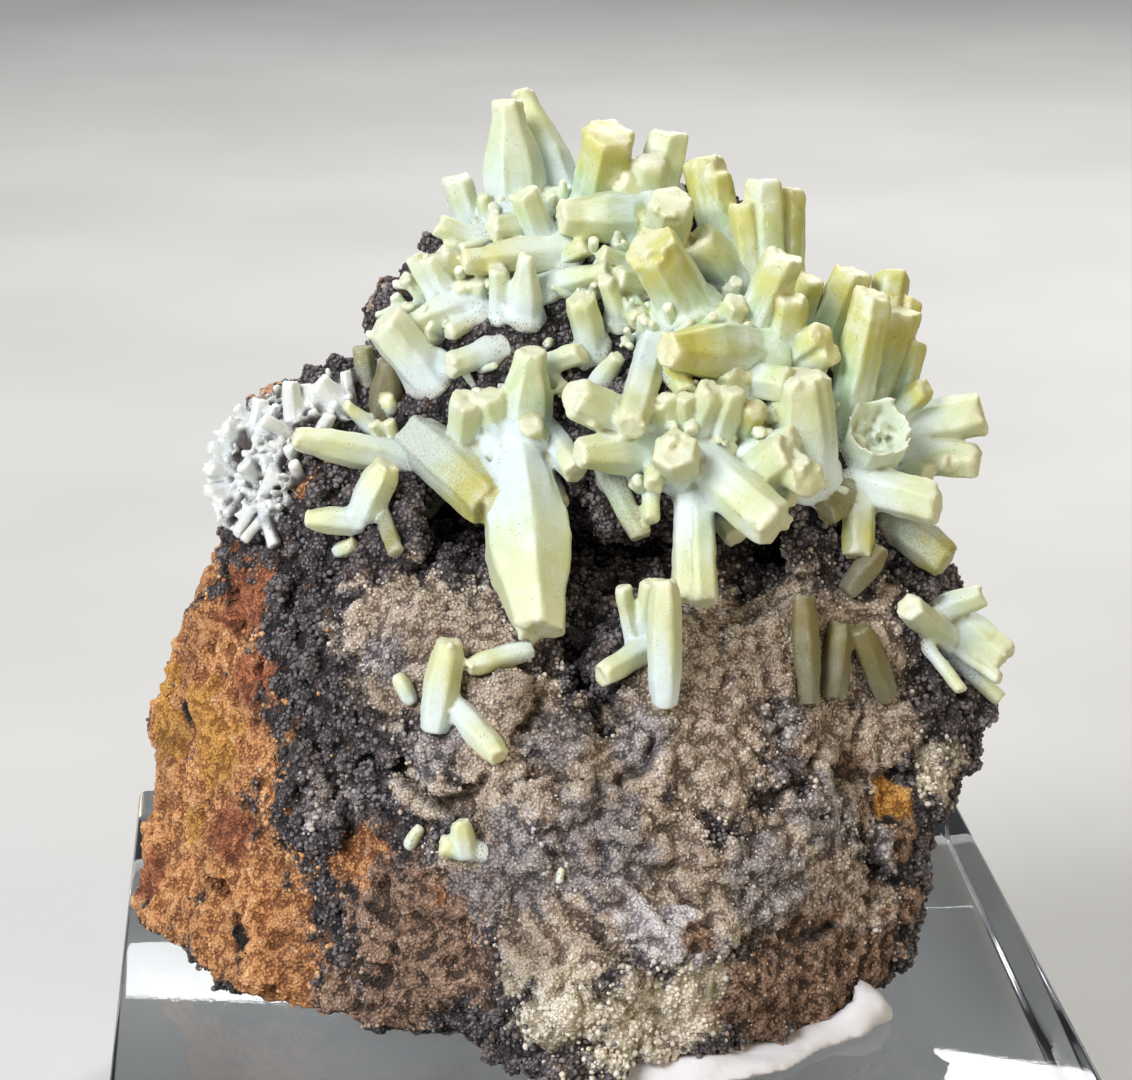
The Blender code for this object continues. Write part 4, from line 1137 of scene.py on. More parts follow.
@dataclass(frozen=True)
class PorcelainFinish:
    """The crystals' finish: bluish white feet, green sides, yellow bands and pale tips."""

    name: str = "plumbogummite_porcelain"
    foot: str = "dde9e9"
    plain: str = "e1ebdd"
    mint: str = "b2d6a2"
    yellow: str = "d4d074"
    cream: str = "edebd2"
    ochre: str = "c9b078"
    # Painted shade in the grooves
    painted_groove_shade: str = "a59a66"
    dust: str = "5f5129"
    speck: str = "54391f"
    frost: str = "f6f5e8"
    # Painted shade: the tint and share of the side that faces away from the key light
    painted_shade_tint: str = "c6bf80"
    painted_shade_share: float = 0.32
    root: str = "b99a6c"
    root_share: float = 0.3
    streak_size: float = 0.36 * MM
    band_size: float = 0.9 * MM
    cloud_size: float = 1.5 * MM
    grain_size: float = 0.07 * MM
    speck_size: float = 0.13 * MM
    speck_spread: float = 0.5 * MM
    flecks: tuple[str, str] = ("e4e6e2", WHITE)
    fleck_share: float = 0.6
    grain_depth: float = 0.015 * MM
    streak_depth: float = 0.04 * MM
    glow: float = 0.2
    glow_depth: float = 0.35 * MM
    glow_reach: Triple = (1.0, 0.9, 0.45)
    ior: float = 1.55

    def build(self) -> Material:
        """Make the material.

        Returns:
            A material that reads along, ripe, green, coat, pale, deep, ridge, sunny and lengthwise.
        """
        board = Board(self.name)
        lengthwise = board.value("lengthwise", "Vector")
        streak = board.noise(self.streak_size, 4.0, 0.6, lengthwise)
        band = board.noise(self.band_size, 2.0, 0.5, lengthwise)
        cloud = board.noise(self.cloud_size, 3.0)
        grain = board.noise(self.grain_size, 4.0, 0.7)
        ripe = board.value("ripe")
        along = board.add(board.value("along"), board.swing(band, 0.22))
        along = board.add(along, board.swing(streak, 0.12))
        colour = self.banded(board, along, streak, cloud, ripe)
        colour = self.painted_shade_and_stain(board, colour, along, streak, cloud, ripe)
        colour = self.dusted(board, colour, grain)
        colour = board.mix(board.ease(board.value("ridge"), 0.2, 1.0, 0.28), colour, self.frost)
        fleck = board.mix(board.ease(grain, 0.3, 0.6), *self.flecks)
        colour = board.mix(self.fleck_share, colour, fleck, "MULTIPLY")
        rough = board.add(0.4, board.product(grain, 0.25))
        relief = board.bump(grain, self.grain_depth, 0.5)
        relief = board.bump(streak, self.streak_depth, 0.5, relief)
        board.set(Base_Color=colour, Roughness=rough, Normal=relief, IOR=self.ior)
        board.set(Subsurface_Weight=self.glow, Subsurface_Scale=self.glow_depth)
        board.set(Subsurface_Radius=self.glow_reach)
        return board.material

    def banded(self, board: Board, along: Socket, streak: Socket, cloud: Socket,
               ripe: Socket) -> Socket:
        """The colour along a crystal, from its foot to its tip.

        Args:
            board: The material's nodes.
            along: From 0 at the foot to 1 at the tip.
            streak: Noise drawn out along the crystal.
            cloud: Coarse noise.
            ripe: How yellow the crystal is.

        Returns:
            The colour.
        """
        green = board.product(board.value("green"), board.ease(streak, 0.3, 0.6))
        green = board.product(green, board.ease(cloud, 0.32, 0.6))
        green = board.product(green, board.rest(board.ease(along, 0.6, 1.0, 0.6)))
        side = board.mix(green, self.plain, self.mint)
        pale = board.rest(board.ease(along, 0.12, 0.7))
        colour = board.mix(board.product(board.value("pale"), pale), side, self.foot)
        yellow = board.product(ripe, board.ease(along, 0.3, 0.8), board.ease(cloud, 0.2, 0.55))
        colour = board.mix(yellow, colour, self.yellow)
        return board.mix(board.ease(along, 0.86, 1.06, 0.7), colour, self.cream)

    def painted_shade_and_stain(self, board: Board, colour: Socket, along: Socket, streak: Socket, cloud: Socket,
                ripe: Socket) -> Socket:
        """Add the painted shade on the side turned from the key light and in the grooves, and the ochre
        stain along some streaks.

        Args:
            board: The material's nodes.
            colour: The colour under it.
            along: From 0 at the foot to 1 at the tip.
            streak: Noise drawn out along the crystal.
            cloud: Coarse noise.
            ripe: How yellow the crystal is.

        Returns:
            The colour with the painted shade and the stains.
        """
        # Painted shade: the grooves are darkened
        painted_groove_shade = board.ease(board.product(board.value("ridge"), -1.0), 0.1, 0.7, 0.7)
        colour = board.mix(painted_groove_shade, colour, self.painted_groove_shade)
        lines = board.product(board.ease(streak, 0.6, 0.78), board.ease(cloud, 0.5, 0.7))
        stain = board.product(lines, board.ease(ripe, 0.0, 1.0, 0.8))
        colour = board.mix(stain, colour, self.ochre)
        # Painted shade: facets that face right, front and down are tinted darker and olive
        side = board.product(board.ease(board.value("painted_shade_side"), 0.2, 0.8), board.ease(along, 0.05, 0.45))
        side = board.product(side, board.add(self.painted_shade_share, board.product(ripe, 0.4)))
        colour = board.mix(side, colour, board.mix(1.0, colour, self.painted_shade_tint, "MULTIPLY"))
        root = board.product(board.ease(board.value("deep"), 0.5, 0.95), self.root_share)
        root = board.product(root, board.ease(cloud, 0.3, 0.6))
        return board.mix(root, colour, self.root)

    def dusted(self, board: Board, colour: Socket, grain: Socket) -> Socket:
        """Add the brown dust and the dark pores.

        Args:
            board: The material's nodes.
            colour: The colour under it.
            grain: Fine noise.

        Returns:
            The colour with them.
        """
        dusty = board.add(board.value("coat"), board.swing(grain, 0.45))
        colour = board.mix(board.ease(dusty, 0.3, 0.95, 0.88), colour, self.dust)
        spots = board.rest(board.ease(board.cells(self.speck_size), 0.12, 0.36))
        spread = board.noise(self.speck_spread)
        near = board.add(board.value("deep"), board.swing(spread, 0.5))
        where = board.math("MAXIMUM", board.ease(near, 0.4, 0.85), board.ease(spread, 0.58, 0.66, 0.6))
        return board.mix(board.product(spots, where, 0.85), colour, self.speck)


class StoneKind(Enum):
    """The kinds of stone, each with a dark, a middle and a light colour."""

    DRUSE = ("151112", "4f484a", "918a8c")
    SANDY = ("76675a", "cebba7", "f0e5d7")
    GREY = ("575152", "aaa19f", "ded8d3")
    LIMONITE = ("905a34", "e5a468", "f6c898")
    OCHRE = ("98662a", "dba04e", "eec07c")
    REDDISH = ("744228", "b97048", "d59a70")
    RUST = ("48372c", "a3826b", "ccb4a0")
    CREAM = ("b2a48c", "ede1ca", "fbf6ea")
    BLUE_GREY = ("918b8a", "e8e1e3", "fbf7f5")
    WHITE = ("a5a8a6", "dce2df", "f1f5f3")
    BLACK = ("0a0908", "1a1613", "2c2722")
    BROWN = ("403026", "937862", "c8b096")

    @property
    def layer(self) -> str:
        """The name of the mesh layer that says where this kind is."""
        return self.name.lower()


@dataclass(frozen=True)
class Patch:
    """A patch of one kind of stone, seen at a place in the frame, with its radius in millimetres."""

    kind: StoneKind
    px: float
    py: float
    radius: float

    def centre(self, stone: Stone) -> Vector:
        """The patch's middle on the stone."""
        return stone.point(self.px, self.py)


@dataclass(frozen=True)
class HiddenPatch:
    """A patch on a side that the photograph hides: its middle and radius in millimetres."""

    kind: StoneKind
    x: float
    y: float
    z: float
    radius: float

    def centre(self, stone: Stone) -> Vector:
        """The patch's middle on the stone."""
        return stone.tree.find_nearest(Vector((self.x, self.y, self.z)) * MM)[0]


# Where the photograph shows each kind: place in the frame, and radius in millimetres
SEEN_PATCHES: dict[StoneKind, tuple[Triple, ...]] = {
    StoneKind.SANDY: (
        (700, 740, 3.4), (770, 640, 3.2), (830, 760, 2.8), (640, 860, 3.0), (560, 930, 2.6),
        (490, 870, 2.2), (800, 870, 3.0), (860, 650, 2.4), (450, 655, 3.0), (470, 725, 2.4),
        (500, 800, 2.0), (400, 690, 1.4), (380, 620, 1.8), (620, 790, 2.6), (690, 650, 2.0),
        (700, 900, 2.6), (430, 790, 1.4), (530, 700, 1.6), (880, 730, 1.6), (420, 600, 1.6),
        (860, 900, 1.6), (560, 790, 1.8),
    ),
    StoneKind.LIMONITE: (
        (180, 860, 3.6), (220, 760, 3.2), (210, 650, 2.6), (240, 900, 3.0), (205, 560, 1.8),
        (275, 970, 2.2), (160, 780, 2.6), (370, 862, 1.5), (430, 900, 0.8), (455, 925, 0.6),
        (400, 965, 0.7),
    ),
    StoneKind.OCHRE: (
        (890, 800, 0.9), (172, 730, 1.5), (205, 705, 1.1), (215, 745, 1.6), (160, 690, 1.2),
        (190, 820, 1.0),
    ),
    StoneKind.REDDISH: ((245, 600, 1.6), (250, 680, 1.2), (232, 830, 1.2), (150, 880, 1.0)),
    StoneKind.RUST: (
        (820, 985, 2.8), (760, 1000, 1.8), (870, 960, 1.6), (410, 985, 1.8), (400, 915, 2.3),
        (455, 950, 1.9), (850, 768, 0.7), (902, 840, 0.9), (912, 900, 0.9), (340, 1000, 1.4),
        (700, 940, 0.7),
    ),
    StoneKind.CREAM: (
        (560, 1010, 1.8), (640, 1025, 2.2), (700, 1000, 1.6), (520, 975, 1.0), (942, 778, 1.3),
    ),
    StoneKind.BLUE_GREY: ((668, 930, 1.4), (640, 922, 1.0)),
    StoneKind.GREY: (
        (882, 850, 0.9), (600, 850, 2.2), (520, 860, 1.9), (765, 880, 2.0), (825, 810, 1.7),
        (640, 735, 1.2), (435, 745, 1.3), (700, 965, 1.4), (560, 745, 1.2), (780, 720, 1.0),
        (470, 905, 1.3), (385, 655, 1.0), (330, 800, 1.2),
    ),
    StoneKind.BLACK: ((245, 945, 0.45), (240, 930, 0.3)),
    StoneKind.WHITE: (
        (262, 420, 1.8), (230, 480, 1.8), (260, 500, 1.2), (665, 340, 1.3), (690, 420, 1.2),
        (500, 240, 1.2), (560, 230, 1.4), (640, 230, 1.3), (740, 270, 1.4), (860, 430, 1.6),
    ),
}

# Each kind on the sides that it hides: middle and radius in millimetres
HIDDEN_PATCHES: dict[StoneKind, tuple[tuple[float, ...], ...]] = {
    StoneKind.LIMONITE: (
        (-17.0, 4.0, 20.0, 6.5), (-15.0, 8.0, 27.0, 5.0), (-8.0, 12.0, 19.0, 5.5),
        (1.0, 13.0, 20.0, 4.6), (4.0, 13.0, 25.0, 2.6), (11.0, 10.0, 18.0, 4.4),
    ),
    StoneKind.SANDY: ((-5.0, 12.0, 34.0, 3.4), (8.0, 12.0, 27.0, 3.6)),
    StoneKind.OCHRE: ((-10.0, 11.0, 20.0, 3.4), (-6.0, 12.0, 16.0, 2.2), (3.0, 13.0, 17.0, 1.8)),
    StoneKind.REDDISH: ((-9.0, 12.0, 26.0, 2.4), (0.0, 13.0, 23.0, 1.6)),
    StoneKind.RUST: ((6.0, 12.0, 16.0, 4.0),),
    StoneKind.GREY: ((4.0, 12.0, 30.0, 3.2), (-3.0, 13.0, 26.0, 2.6), (9.0, 11.0, 21.0, 2.4)),
}

PATCHES: list[Patch | HiddenPatch] = [
    *(Patch(kind, *row) for kind, rows in SEEN_PATCHES.items() for row in rows),
    *(HiddenPatch(kind, *row) for kind, rows in HIDDEN_PATCHES.items() for row in rows),
]

# The last kind painted wins, so the small strong ones come late
PAINT_ORDER = (
    StoneKind.SANDY, StoneKind.BROWN, StoneKind.GREY, StoneKind.LIMONITE, StoneKind.OCHRE,
    StoneKind.REDDISH, StoneKind.CREAM, StoneKind.BLUE_GREY, StoneKind.RUST, StoneKind.BLACK,
    StoneKind.WHITE,
)


@dataclass(frozen=True)
class Crevice:
    """A hollow along a line of places in the frame, darkened with painted shade.

    Its half width and depth are in millimetres.
    """

    places: tuple[Pixel, ...]
    half_width: float
    depth: float

    STEP = 8.0

    def points(self, stone: Stone) -> Rows:
        """Points on the stone, close together along the line.

        Args:
            stone: The stone that the crevice is in.

        Returns:
            One row for each point.
        """
        rows = []
        for (ax, ay), (bx, by) in zip(self.places, self.places[1:]):
            steps = max(2, int(math.hypot(bx - ax, by - ay) / self.STEP))
            for step in range(steps + 1):
                share = step / steps
                rows.append(stone.point(ax + (bx - ax) * share, ay + (by - ay) * share))
        return np.array(rows)


CREVICES = (
    Crevice(((585, 625), (572, 668), (590, 705), (628, 728)), 0.9, 0.9),
    Crevice(((600, 520), (622, 545), (655, 540)), 0.8, 0.7),
    Crevice(((505, 792), (548, 768), (590, 790), (640, 770), (655, 742)), 0.5, 0.55),
    Crevice(((398, 770), (425, 800), (462, 806), (478, 782)), 0.6, 0.6),
    Crevice(((775, 792), (812, 762), (850, 778), (905, 775)), 0.5, 0.5),
    Crevice(((862, 830), (880, 868), (868, 900)), 0.45, 0.5),
    Crevice(((560, 900), (600, 938), (622, 960)), 0.45, 0.45),
    Crevice(((520, 740), (540, 700), (520, 660)), 0.5, 0.45),
    Crevice(((310, 700), (322, 760), (345, 810), (352, 860)), 0.5, 0.5),
    Crevice(((280, 560), (300, 620), (308, 680)), 0.4, 0.4),
    Crevice(((390, 870), (372, 905), (398, 935), (380, 985)), 0.4, 0.4),
    Crevice(((730, 950), (765, 925), (800, 940), (830, 925)), 0.45, 0.45),
    Crevice(((225, 560), (232, 620), (262, 660), (255, 720)), 0.3, 0.3),
    Crevice(((180, 800), (200, 870), (235, 905), (240, 960)), 0.35, 0.4),
)


class StoneMap:
    """Where each kind of stone is, for the rock and for the grains on it."""

    EDGE = 0.6
    WARP = 0.5
    WARP_SIZE = 1.1 * MM
    BROAD_WARP = 1.1
    BROAD_SIZE = 3.2 * MM
    BACK_START = 7.5 * MM
    BACK_END = 11.0 * MM
    BACK_WARP = 5.0
    CREVICE_MIDDLE = 0.1

    def __init__(self, stone: Stone) -> None:
        """Find the middle of each patch.

        Args:
            stone: The stone that the patches are on.
        """
        self.centres = [(patch, np.array(patch.centre(stone))) for patch in PATCHES]
        self.crevices = [(crevice, crevice.points(stone)) for crevice in CREVICES]

    def hollows(self, points: Rows) -> tuple[Rows, Rows]:
        """How far inside a crevice some points are.

        Args:
            points: One row for each point.

        Returns:
            For each point a share from 0 to 1, and how deep the crevice is there.
        """
        warp = noise_at(points, self.WARP_SIZE, 6.0, 3) * self.WARP
        inside = np.zeros(len(points))
        depth = np.zeros(len(points))
        for crevice, line in self.crevices:
            away = np.full(len(points), np.inf)
            for place in line:
                away = np.minimum(away, np.linalg.norm(points - place, axis=1))
            share = 1.0 - smooth_step(self.CREVICE_MIDDLE, 1.0, away / (crevice.half_width * MM) + warp)
            inside = np.maximum(inside, share)
            depth = np.maximum(depth, share * crevice.depth * MM)
        return inside, depth

    def shares(self, points: Rows) -> dict[StoneKind, Rows]:
        """How much of each kind there is at some points.

        Args:
            points: One row for each point.

        Returns:
            For each painted kind, a value from 0 to 1 at each point.
        """
        warp = noise_at(points, self.WARP_SIZE, 4.0, 3) * self.WARP
        made = {kind: np.zeros(len(points)) for kind in PAINT_ORDER}
        broad = noise_at(points, self.BROAD_SIZE, 8.0, 3) * self.BROAD_WARP
        for patch, centre in self.centres:
            away = np.linalg.norm(points - centre, axis=1) / (patch.radius * MM) + warp
            if isinstance(patch, HiddenPatch):
                away = away + broad
            share = 1.0 - smooth_step(1.0 - self.EDGE, 1.0 + self.EDGE, away)
            made[patch.kind] = np.maximum(made[patch.kind], share)
        back = smooth_step(self.BACK_START, self.BACK_END, points[:, 1] + warp * self.BACK_WARP * MM)
        made[StoneKind.BROWN] = np.maximum(made[StoneKind.BROWN], back)
        return made


@dataclass(frozen=True)
class StoneFinish:
    """The matrix stone's finish, in which each kind of stone has its own three colours."""

    name: str
    grains_only: bool = False
    grain: float = 0.15 * MM
    coarse_size: float = 2.4 * MM
    middle_size: float = 0.6 * MM
    fine_size: float = 0.14 * MM
    rust_size: float = 0.8 * MM
    pit_size: float = 0.24 * MM
    rust: str = "93673f"
    dim: str = "b9b2ae"
    dim_share: float = 0.8
    # Painted shade in the crevices
    hollow: str = "171213"
    pit: str = "1a1410"
    fine_depth: float = 0.06 * MM
    gap_depth: float = 0.07 * MM

    def kind_colour(self, board: Board, kind: StoneKind, tone: Socket) -> Socket:
        """The mottled colour of one kind of stone.

        Args:
            board: The material's nodes.
            kind: The kind.
            tone: From dark at 0 to light at 1.

        Returns:
            The colour.
        """
        dark, middle, light = kind.value
        lower = board.mix(board.ease(tone, 0.05, 0.5), dark, middle)
        return board.mix(board.ease(tone, 0.5, 0.95), lower, light)

    def build(self) -> Material:
        """Make the material.

        Returns:
            A material that reads the layer of each kind, shade, ridge and hollow; ridge and hollow set
            its painted shade and highlight.
        """
        board = Board(self.name)
        coarse = board.noise(self.coarse_size, 3.0)
        middle = board.noise(self.middle_size, 5.0, 0.65)
        fine = board.noise(self.fine_size, 5.0, 0.75)
        gaps = board.ease(board.cells(self.grain), 0.3, 0.75)
        if self.grains_only:
            tone = board.add(board.product(board.value("shade"), 0.75), board.product(fine, 0.3))
        else:
            tone = board.add(board.product(fine, 0.9), board.product(middle, 0.5))
            tone = board.math("SUBTRACT", tone, 0.22)
            # Painted shade in the gaps between the grains
            tone = board.math("SUBTRACT", tone, board.product(gaps, 0.35))
        # Painted shade and highlight: darker in grooves, lighter on ridges and on the tops of the grains
        tone = board.add(tone, board.product(board.value("ridge"), 0.45))
        colour = self.kind_colour(board, StoneKind.DRUSE, tone)
        edge = board.add(board.swing(middle, 0.5), board.swing(fine, 0.4))
        for kind in PAINT_ORDER:
            share = board.ease(board.add(board.value(kind.layer), edge), 0.3, 0.7)
            colour = board.mix(share, colour, self.kind_colour(board, kind, tone))
        rusty = board.product(board.ease(board.noise(self.rust_size, 4.0, 0.7), 0.55, 0.72), 0.45)
        colour = board.mix(rusty, colour, self.rust)
        dim = board.mix(board.ease(coarse, 0.25, 0.7), self.dim, WHITE)
        colour = board.mix(self.dim_share, colour, dim, "MULTIPLY")
        # Painted shade: the crevices are darkened
        deep = board.ease(board.value("hollow"), 0.15, 0.95, 0.8)
        colour = board.mix(deep, colour, self.hollow)
        pits = board.ease(board.noise(self.pit_size, 3.0, 0.6), 0.6, 0.74, 0.85)
        colour = board.mix(pits, colour, self.pit)
        rough = board.add(0.62, board.product(fine, 0.3))
        relief = board.bump(fine, self.fine_depth, 0.8)
        if not self.grains_only:
            relief = board.bump(board.rest(gaps), self.gap_depth, 0.9, relief)
        board.set(Base_Color=colour, Roughness=rough, Normal=relief)
        return board.material


@dataclass
class MatrixRock:
    """The broken stone that carries the crystals."""

    stone: Stone
    kinds: StoneMap
    node: str = "matrix_rock"
    grain: float = 0.345 * MM
    softening: int = 2
    clumps: tuple[tuple[float, float, float], ...] = (
        (2.2 * MM, 0.62 * MM, 11.0),
        (1.0 * MM, 0.42 * MM, 12.0),
        (0.45 * MM, 0.18 * MM, 13.0),
    )
    clump_level: float = 0.32
    earth: tuple[tuple[float, float, float], ...] = (
        (1.9 * MM, 0.45 * MM, 14.0),
        (0.8 * MM, 0.3 * MM, 15.0),
        (0.36 * MM, 0.16 * MM, 16.0),
    )
    calm_start: float = -0.1 * MM
    calm_reach: float = 0.7 * MM
    calm_hollows: float = 0.4
    sandy_calm: float = 0.3
    floor: float = 13.25 * MM
    front_limit: float = 0.15

    EARTHY = (
        StoneKind.LIMONITE, StoneKind.OCHRE, StoneKind.REDDISH, StoneKind.RUST, StoneKind.BROWN,
    )

    def build(self, dressing: Material, growths: Sequence[Growth]) -> Piece:
        """Model the stone's fine surface.

        Args:
            dressing: Its material.
            growths: The crystals, beside which the stone stays low.

        Returns:
            The piece.
        """
        piece = new_piece("fine_" + self.node, self.stone.node.data.copy())
        reskin(piece, self.grain, self.softening)
        self.refine_front(piece.data)
        self.roughen(piece.data, self.calm(points_of(piece.data), growths))
        self.paint(piece.data)
        settle(piece, "matrix_stone", dressing, self.node)
        return piece

    def calm(self, points: Rows, growths: Sequence[Growth]) -> Rows:
        """How much of the relief each point has: none beside a crystal, and all of it away from one.

        Args:
            points: One row for each point.
            growths: The crystals.

        Returns:
            A share from 0 to 1 for each point.
        """
        share = np.ones(len(points))
        for growth in growths:
            local = growth.local(points)
            over = np.maximum(np.maximum(local[:, 2] - growth.length, -local[:, 2]), 0.0)
            beside = np.maximum(np.hypot(local[:, 0], local[:, 1]) - growth.radius, 0.0)
            away = np.hypot(beside, over)
            share = np.minimum(share, smooth_step(self.calm_start, self.calm_reach, away))
        return share

    def refine_front(self, mesh: Mesh) -> None:
        """Split the faces that the photograph shows, so that they can hold finer relief.

        Args:
            mesh: The mesh.
        """
        work = bmesh.new()
        work.from_mesh(mesh)
        toward = -PHOTO.forward
        chosen = set()
        for face in work.faces:
            if face.normal.dot(toward) > self.front_limit:
                chosen.update(face.edges)
        bmesh.ops.subdivide_edges(work, edges=list(chosen), cuts=1, use_grid_fill=True)
        work.to_mesh(mesh)
        work.free()

    def roughen(self, mesh: Mesh, calm: Rows) -> None:
        """Raise the druse's rounded clumps and the earthy lumps of the limonite.

        Args:
            mesh: The mesh.
            calm: How much of the relief each point has.
        """
        points = points_of(mesh)
        points = points - normals_of(mesh) * self.kinds.hollows(points)[1][:, None]
        put_points(mesh, points)
        kinds = self.kinds.shares(points)
        earthy = np.max([kinds[kind] for kind in self.EARTHY], axis=0)
        sandy = kinds[StoneKind.SANDY] * self.sandy_calm
        for (size, height, seed), (rough_size, rough_height, rough_seed) in zip(self.clumps, self.earth):
            points = points_of(mesh)
            ways = normals_of(mesh)
            round_ = np.abs(noise_at(points, size, seed)) * 2.0 - self.clump_level
            rough = noise_at(points, rough_size, rough_seed, 2)
            amount = round_ * height * (1.0 - earthy) * (1.0 - sandy) + rough * rough_height * earthy
            inward = self.calm_hollows + (1.0 - self.calm_hollows) * calm
            amount = np.where(amount > 0.0, amount * calm, amount * inward)
            points = points + ways * amount[:, None]
            points[:, 2] = np.maximum(points[:, 2], self.floor)
            put_points(mesh, points)

    def paint(self, mesh: Mesh) -> None:
        """Keep where each kind of stone is, where the crevices are and where the surface stands out,
        which set its painted shade.

        Args:
            mesh: The mesh.
        """
        points = points_of(mesh)
        for kind, share in self.kinds.shares(points).items():
            put_value(mesh, kind.layer, share)
        put_value(mesh, "hollow", self.kinds.hollows(points)[0])
        put_value(mesh, "ridge", np.clip(ridges_of(mesh, 1), -1.0, 1.0))


@dataclass(frozen=True)
class GrainField:
    """One area of the stone that is covered with rounded druse grains."""

    name: str
    count: int
    smallest: float
    largest: float
    spacing: float
    seed: int
    front: bool


class DruseGrains:
    """The rounded grains that cover the stone, each a small ball half sunk in it."""

    CANDIDATES = 5
    IN_GROOVES = 0.3
    CLUMP = 0.9 * MM
    CLUMP_SHARE = 0.6
    SMALL_POWER = 1.7
    GROOVE_RIDGES = (-0.25, 0.2)
    FRONT_FACING = (-0.15, 0.15)
    BACK_FACING = (0.1, -0.2)
    CRYSTAL_CORE = 0.7
    CLOSEST = 0.7
    UNEVEN = (0.75, 1.25)
    LIFTS = (-0.25, 0.45)
    SHADES = (1.6, 1.9)
    KIND_SPREAD = 0.45
    KINDS = {
        StoneKind.SANDY: 0.5, StoneKind.BROWN: 0.35, StoneKind.GREY: 0.8, StoneKind.LIMONITE: 0.1,
        StoneKind.OCHRE: 0.08, StoneKind.REDDISH: 0.05, StoneKind.CREAM: 0.9,
        StoneKind.BLUE_GREY: 0.2, StoneKind.RUST: 0.4, StoneKind.BLACK: 0.0, StoneKind.WHITE: 0.9,
    }
    FINE_KINDS = (
        StoneKind.SANDY, StoneKind.LIMONITE, StoneKind.OCHRE, StoneKind.REDDISH, StoneKind.RUST,
    )
    FINENESS = 0.5

    def __init__(self, rock: Piece, kinds: StoneMap, growths: Sequence[Growth]) -> None:
        """Read the stone's faces.

        Args:
            rock: The stone's fine surface.
            kinds: Where each kind of stone is.
            growths: The crystals, which the grains stay out of.
        """
        self.kinds = kinds
        self.growths = growths
        mesh = rock.data
        mesh.calc_loop_triangles()
        corners = np.empty(len(mesh.loop_triangles) * 3, dtype=np.int64)
        mesh.loop_triangles.foreach_get("vertices", corners)
        self.places = points_of(mesh)[corners.reshape(-1, 3)]
        self.ways = normals_of(mesh)[corners.reshape(-1, 3)]
        side = np.cross(self.places[:, 1] - self.places[:, 0], self.places[:, 2] - self.places[:, 0])
        self.areas = np.linalg.norm(side, axis=1) * 0.5
        ridge = ridges_of(mesh, 2)[corners.reshape(-1, 3)].mean(axis=1)
        self.areas *= self.IN_GROOVES + smooth_step(*self.GROOVE_RIDGES, ridge)

    def spread(self, field_of: GrainField) -> tuple[Rows, Rows]:
        """Choose where the grains of one area stand.

        Args:
            field_of: The area.

        Returns:
            The grains' places and the stone's normals there, one row each.
        """
        draw = np.random.default_rng(field_of.seed)
        middle = self.places.mean(axis=1)
        way = self.ways.mean(axis=1)
        facing = way @ np.array(-PHOTO.forward)
        limits = self.FRONT_FACING if field_of.front else self.BACK_FACING
        weight = self.areas * smooth_step(*limits, facing)
        for kind, share in self.kinds.shares(middle).items():
            weight = weight * (1.0 - share * (1.0 - self.KINDS[kind]))
        wanted = field_of.count * self.CANDIDATES
        rows = draw.choice(len(weight), size=wanted, p=weight / weight.sum())
        parts = draw.dirichlet((1.0, 1.0, 1.0), size=wanted)
        points = np.einsum("ij,ijk->ik", parts, self.places[rows])
        ways = np.einsum("ij,ijk->ik", parts, self.ways[rows])
        keep = self.outside(points)
        points, ways = points[keep], ways[keep]
        chosen = self.thin(points, field_of.spacing, field_of.count)
        return points[chosen], ways[chosen]

    def outside(self, points: Rows) -> Rows:
        """Which points are outside the crystals.

        Args:
            points: One row for each point.

        Returns:
            True for each point that is outside.
        """
        keep = np.ones(len(points), dtype=bool)
        for growth in self.growths:
            local = growth.local(points)
            away = np.hypot(local[:, 0], local[:, 1])
            beyond = (local[:, 2] < 0.0) | (local[:, 2] > growth.length)
            keep &= beyond | (away > growth.radius * self.CRYSTAL_CORE)
        return keep

    def thin(self, points: Rows, spacing: float, most: int) -> list[int]:
        """Drop the points that are closer to an earlier one than the spacing.

        Args:
            points: One row for each point.
            spacing: How far apart they are kept.
            most: How many are kept at most.

        Returns:
            The rows that are kept.
        """
        taken: dict[tuple[int, int, int], list[int]] = {}
        kept: list[int] = []
        cells = np.floor(points / spacing).astype(int)
        steps = [(a, b, c) for a in (-1, 0, 1) for b in (-1, 0, 1) for c in (-1, 0, 1)]
        for index, cell in enumerate(cells):
            x, y, z = (int(part) for part in cell)
            close = (other for a, b, c in steps for other in taken.get((x + a, y + b, z + c), ()))
            least = spacing * self.CLOSEST
            if all(np.abs(points[other] - points[index]).max() > least for other in close):
                kept.append(index)
                taken.setdefault((x, y, z), []).append(index)
                if len(kept) >= most:
                    break
        return kept

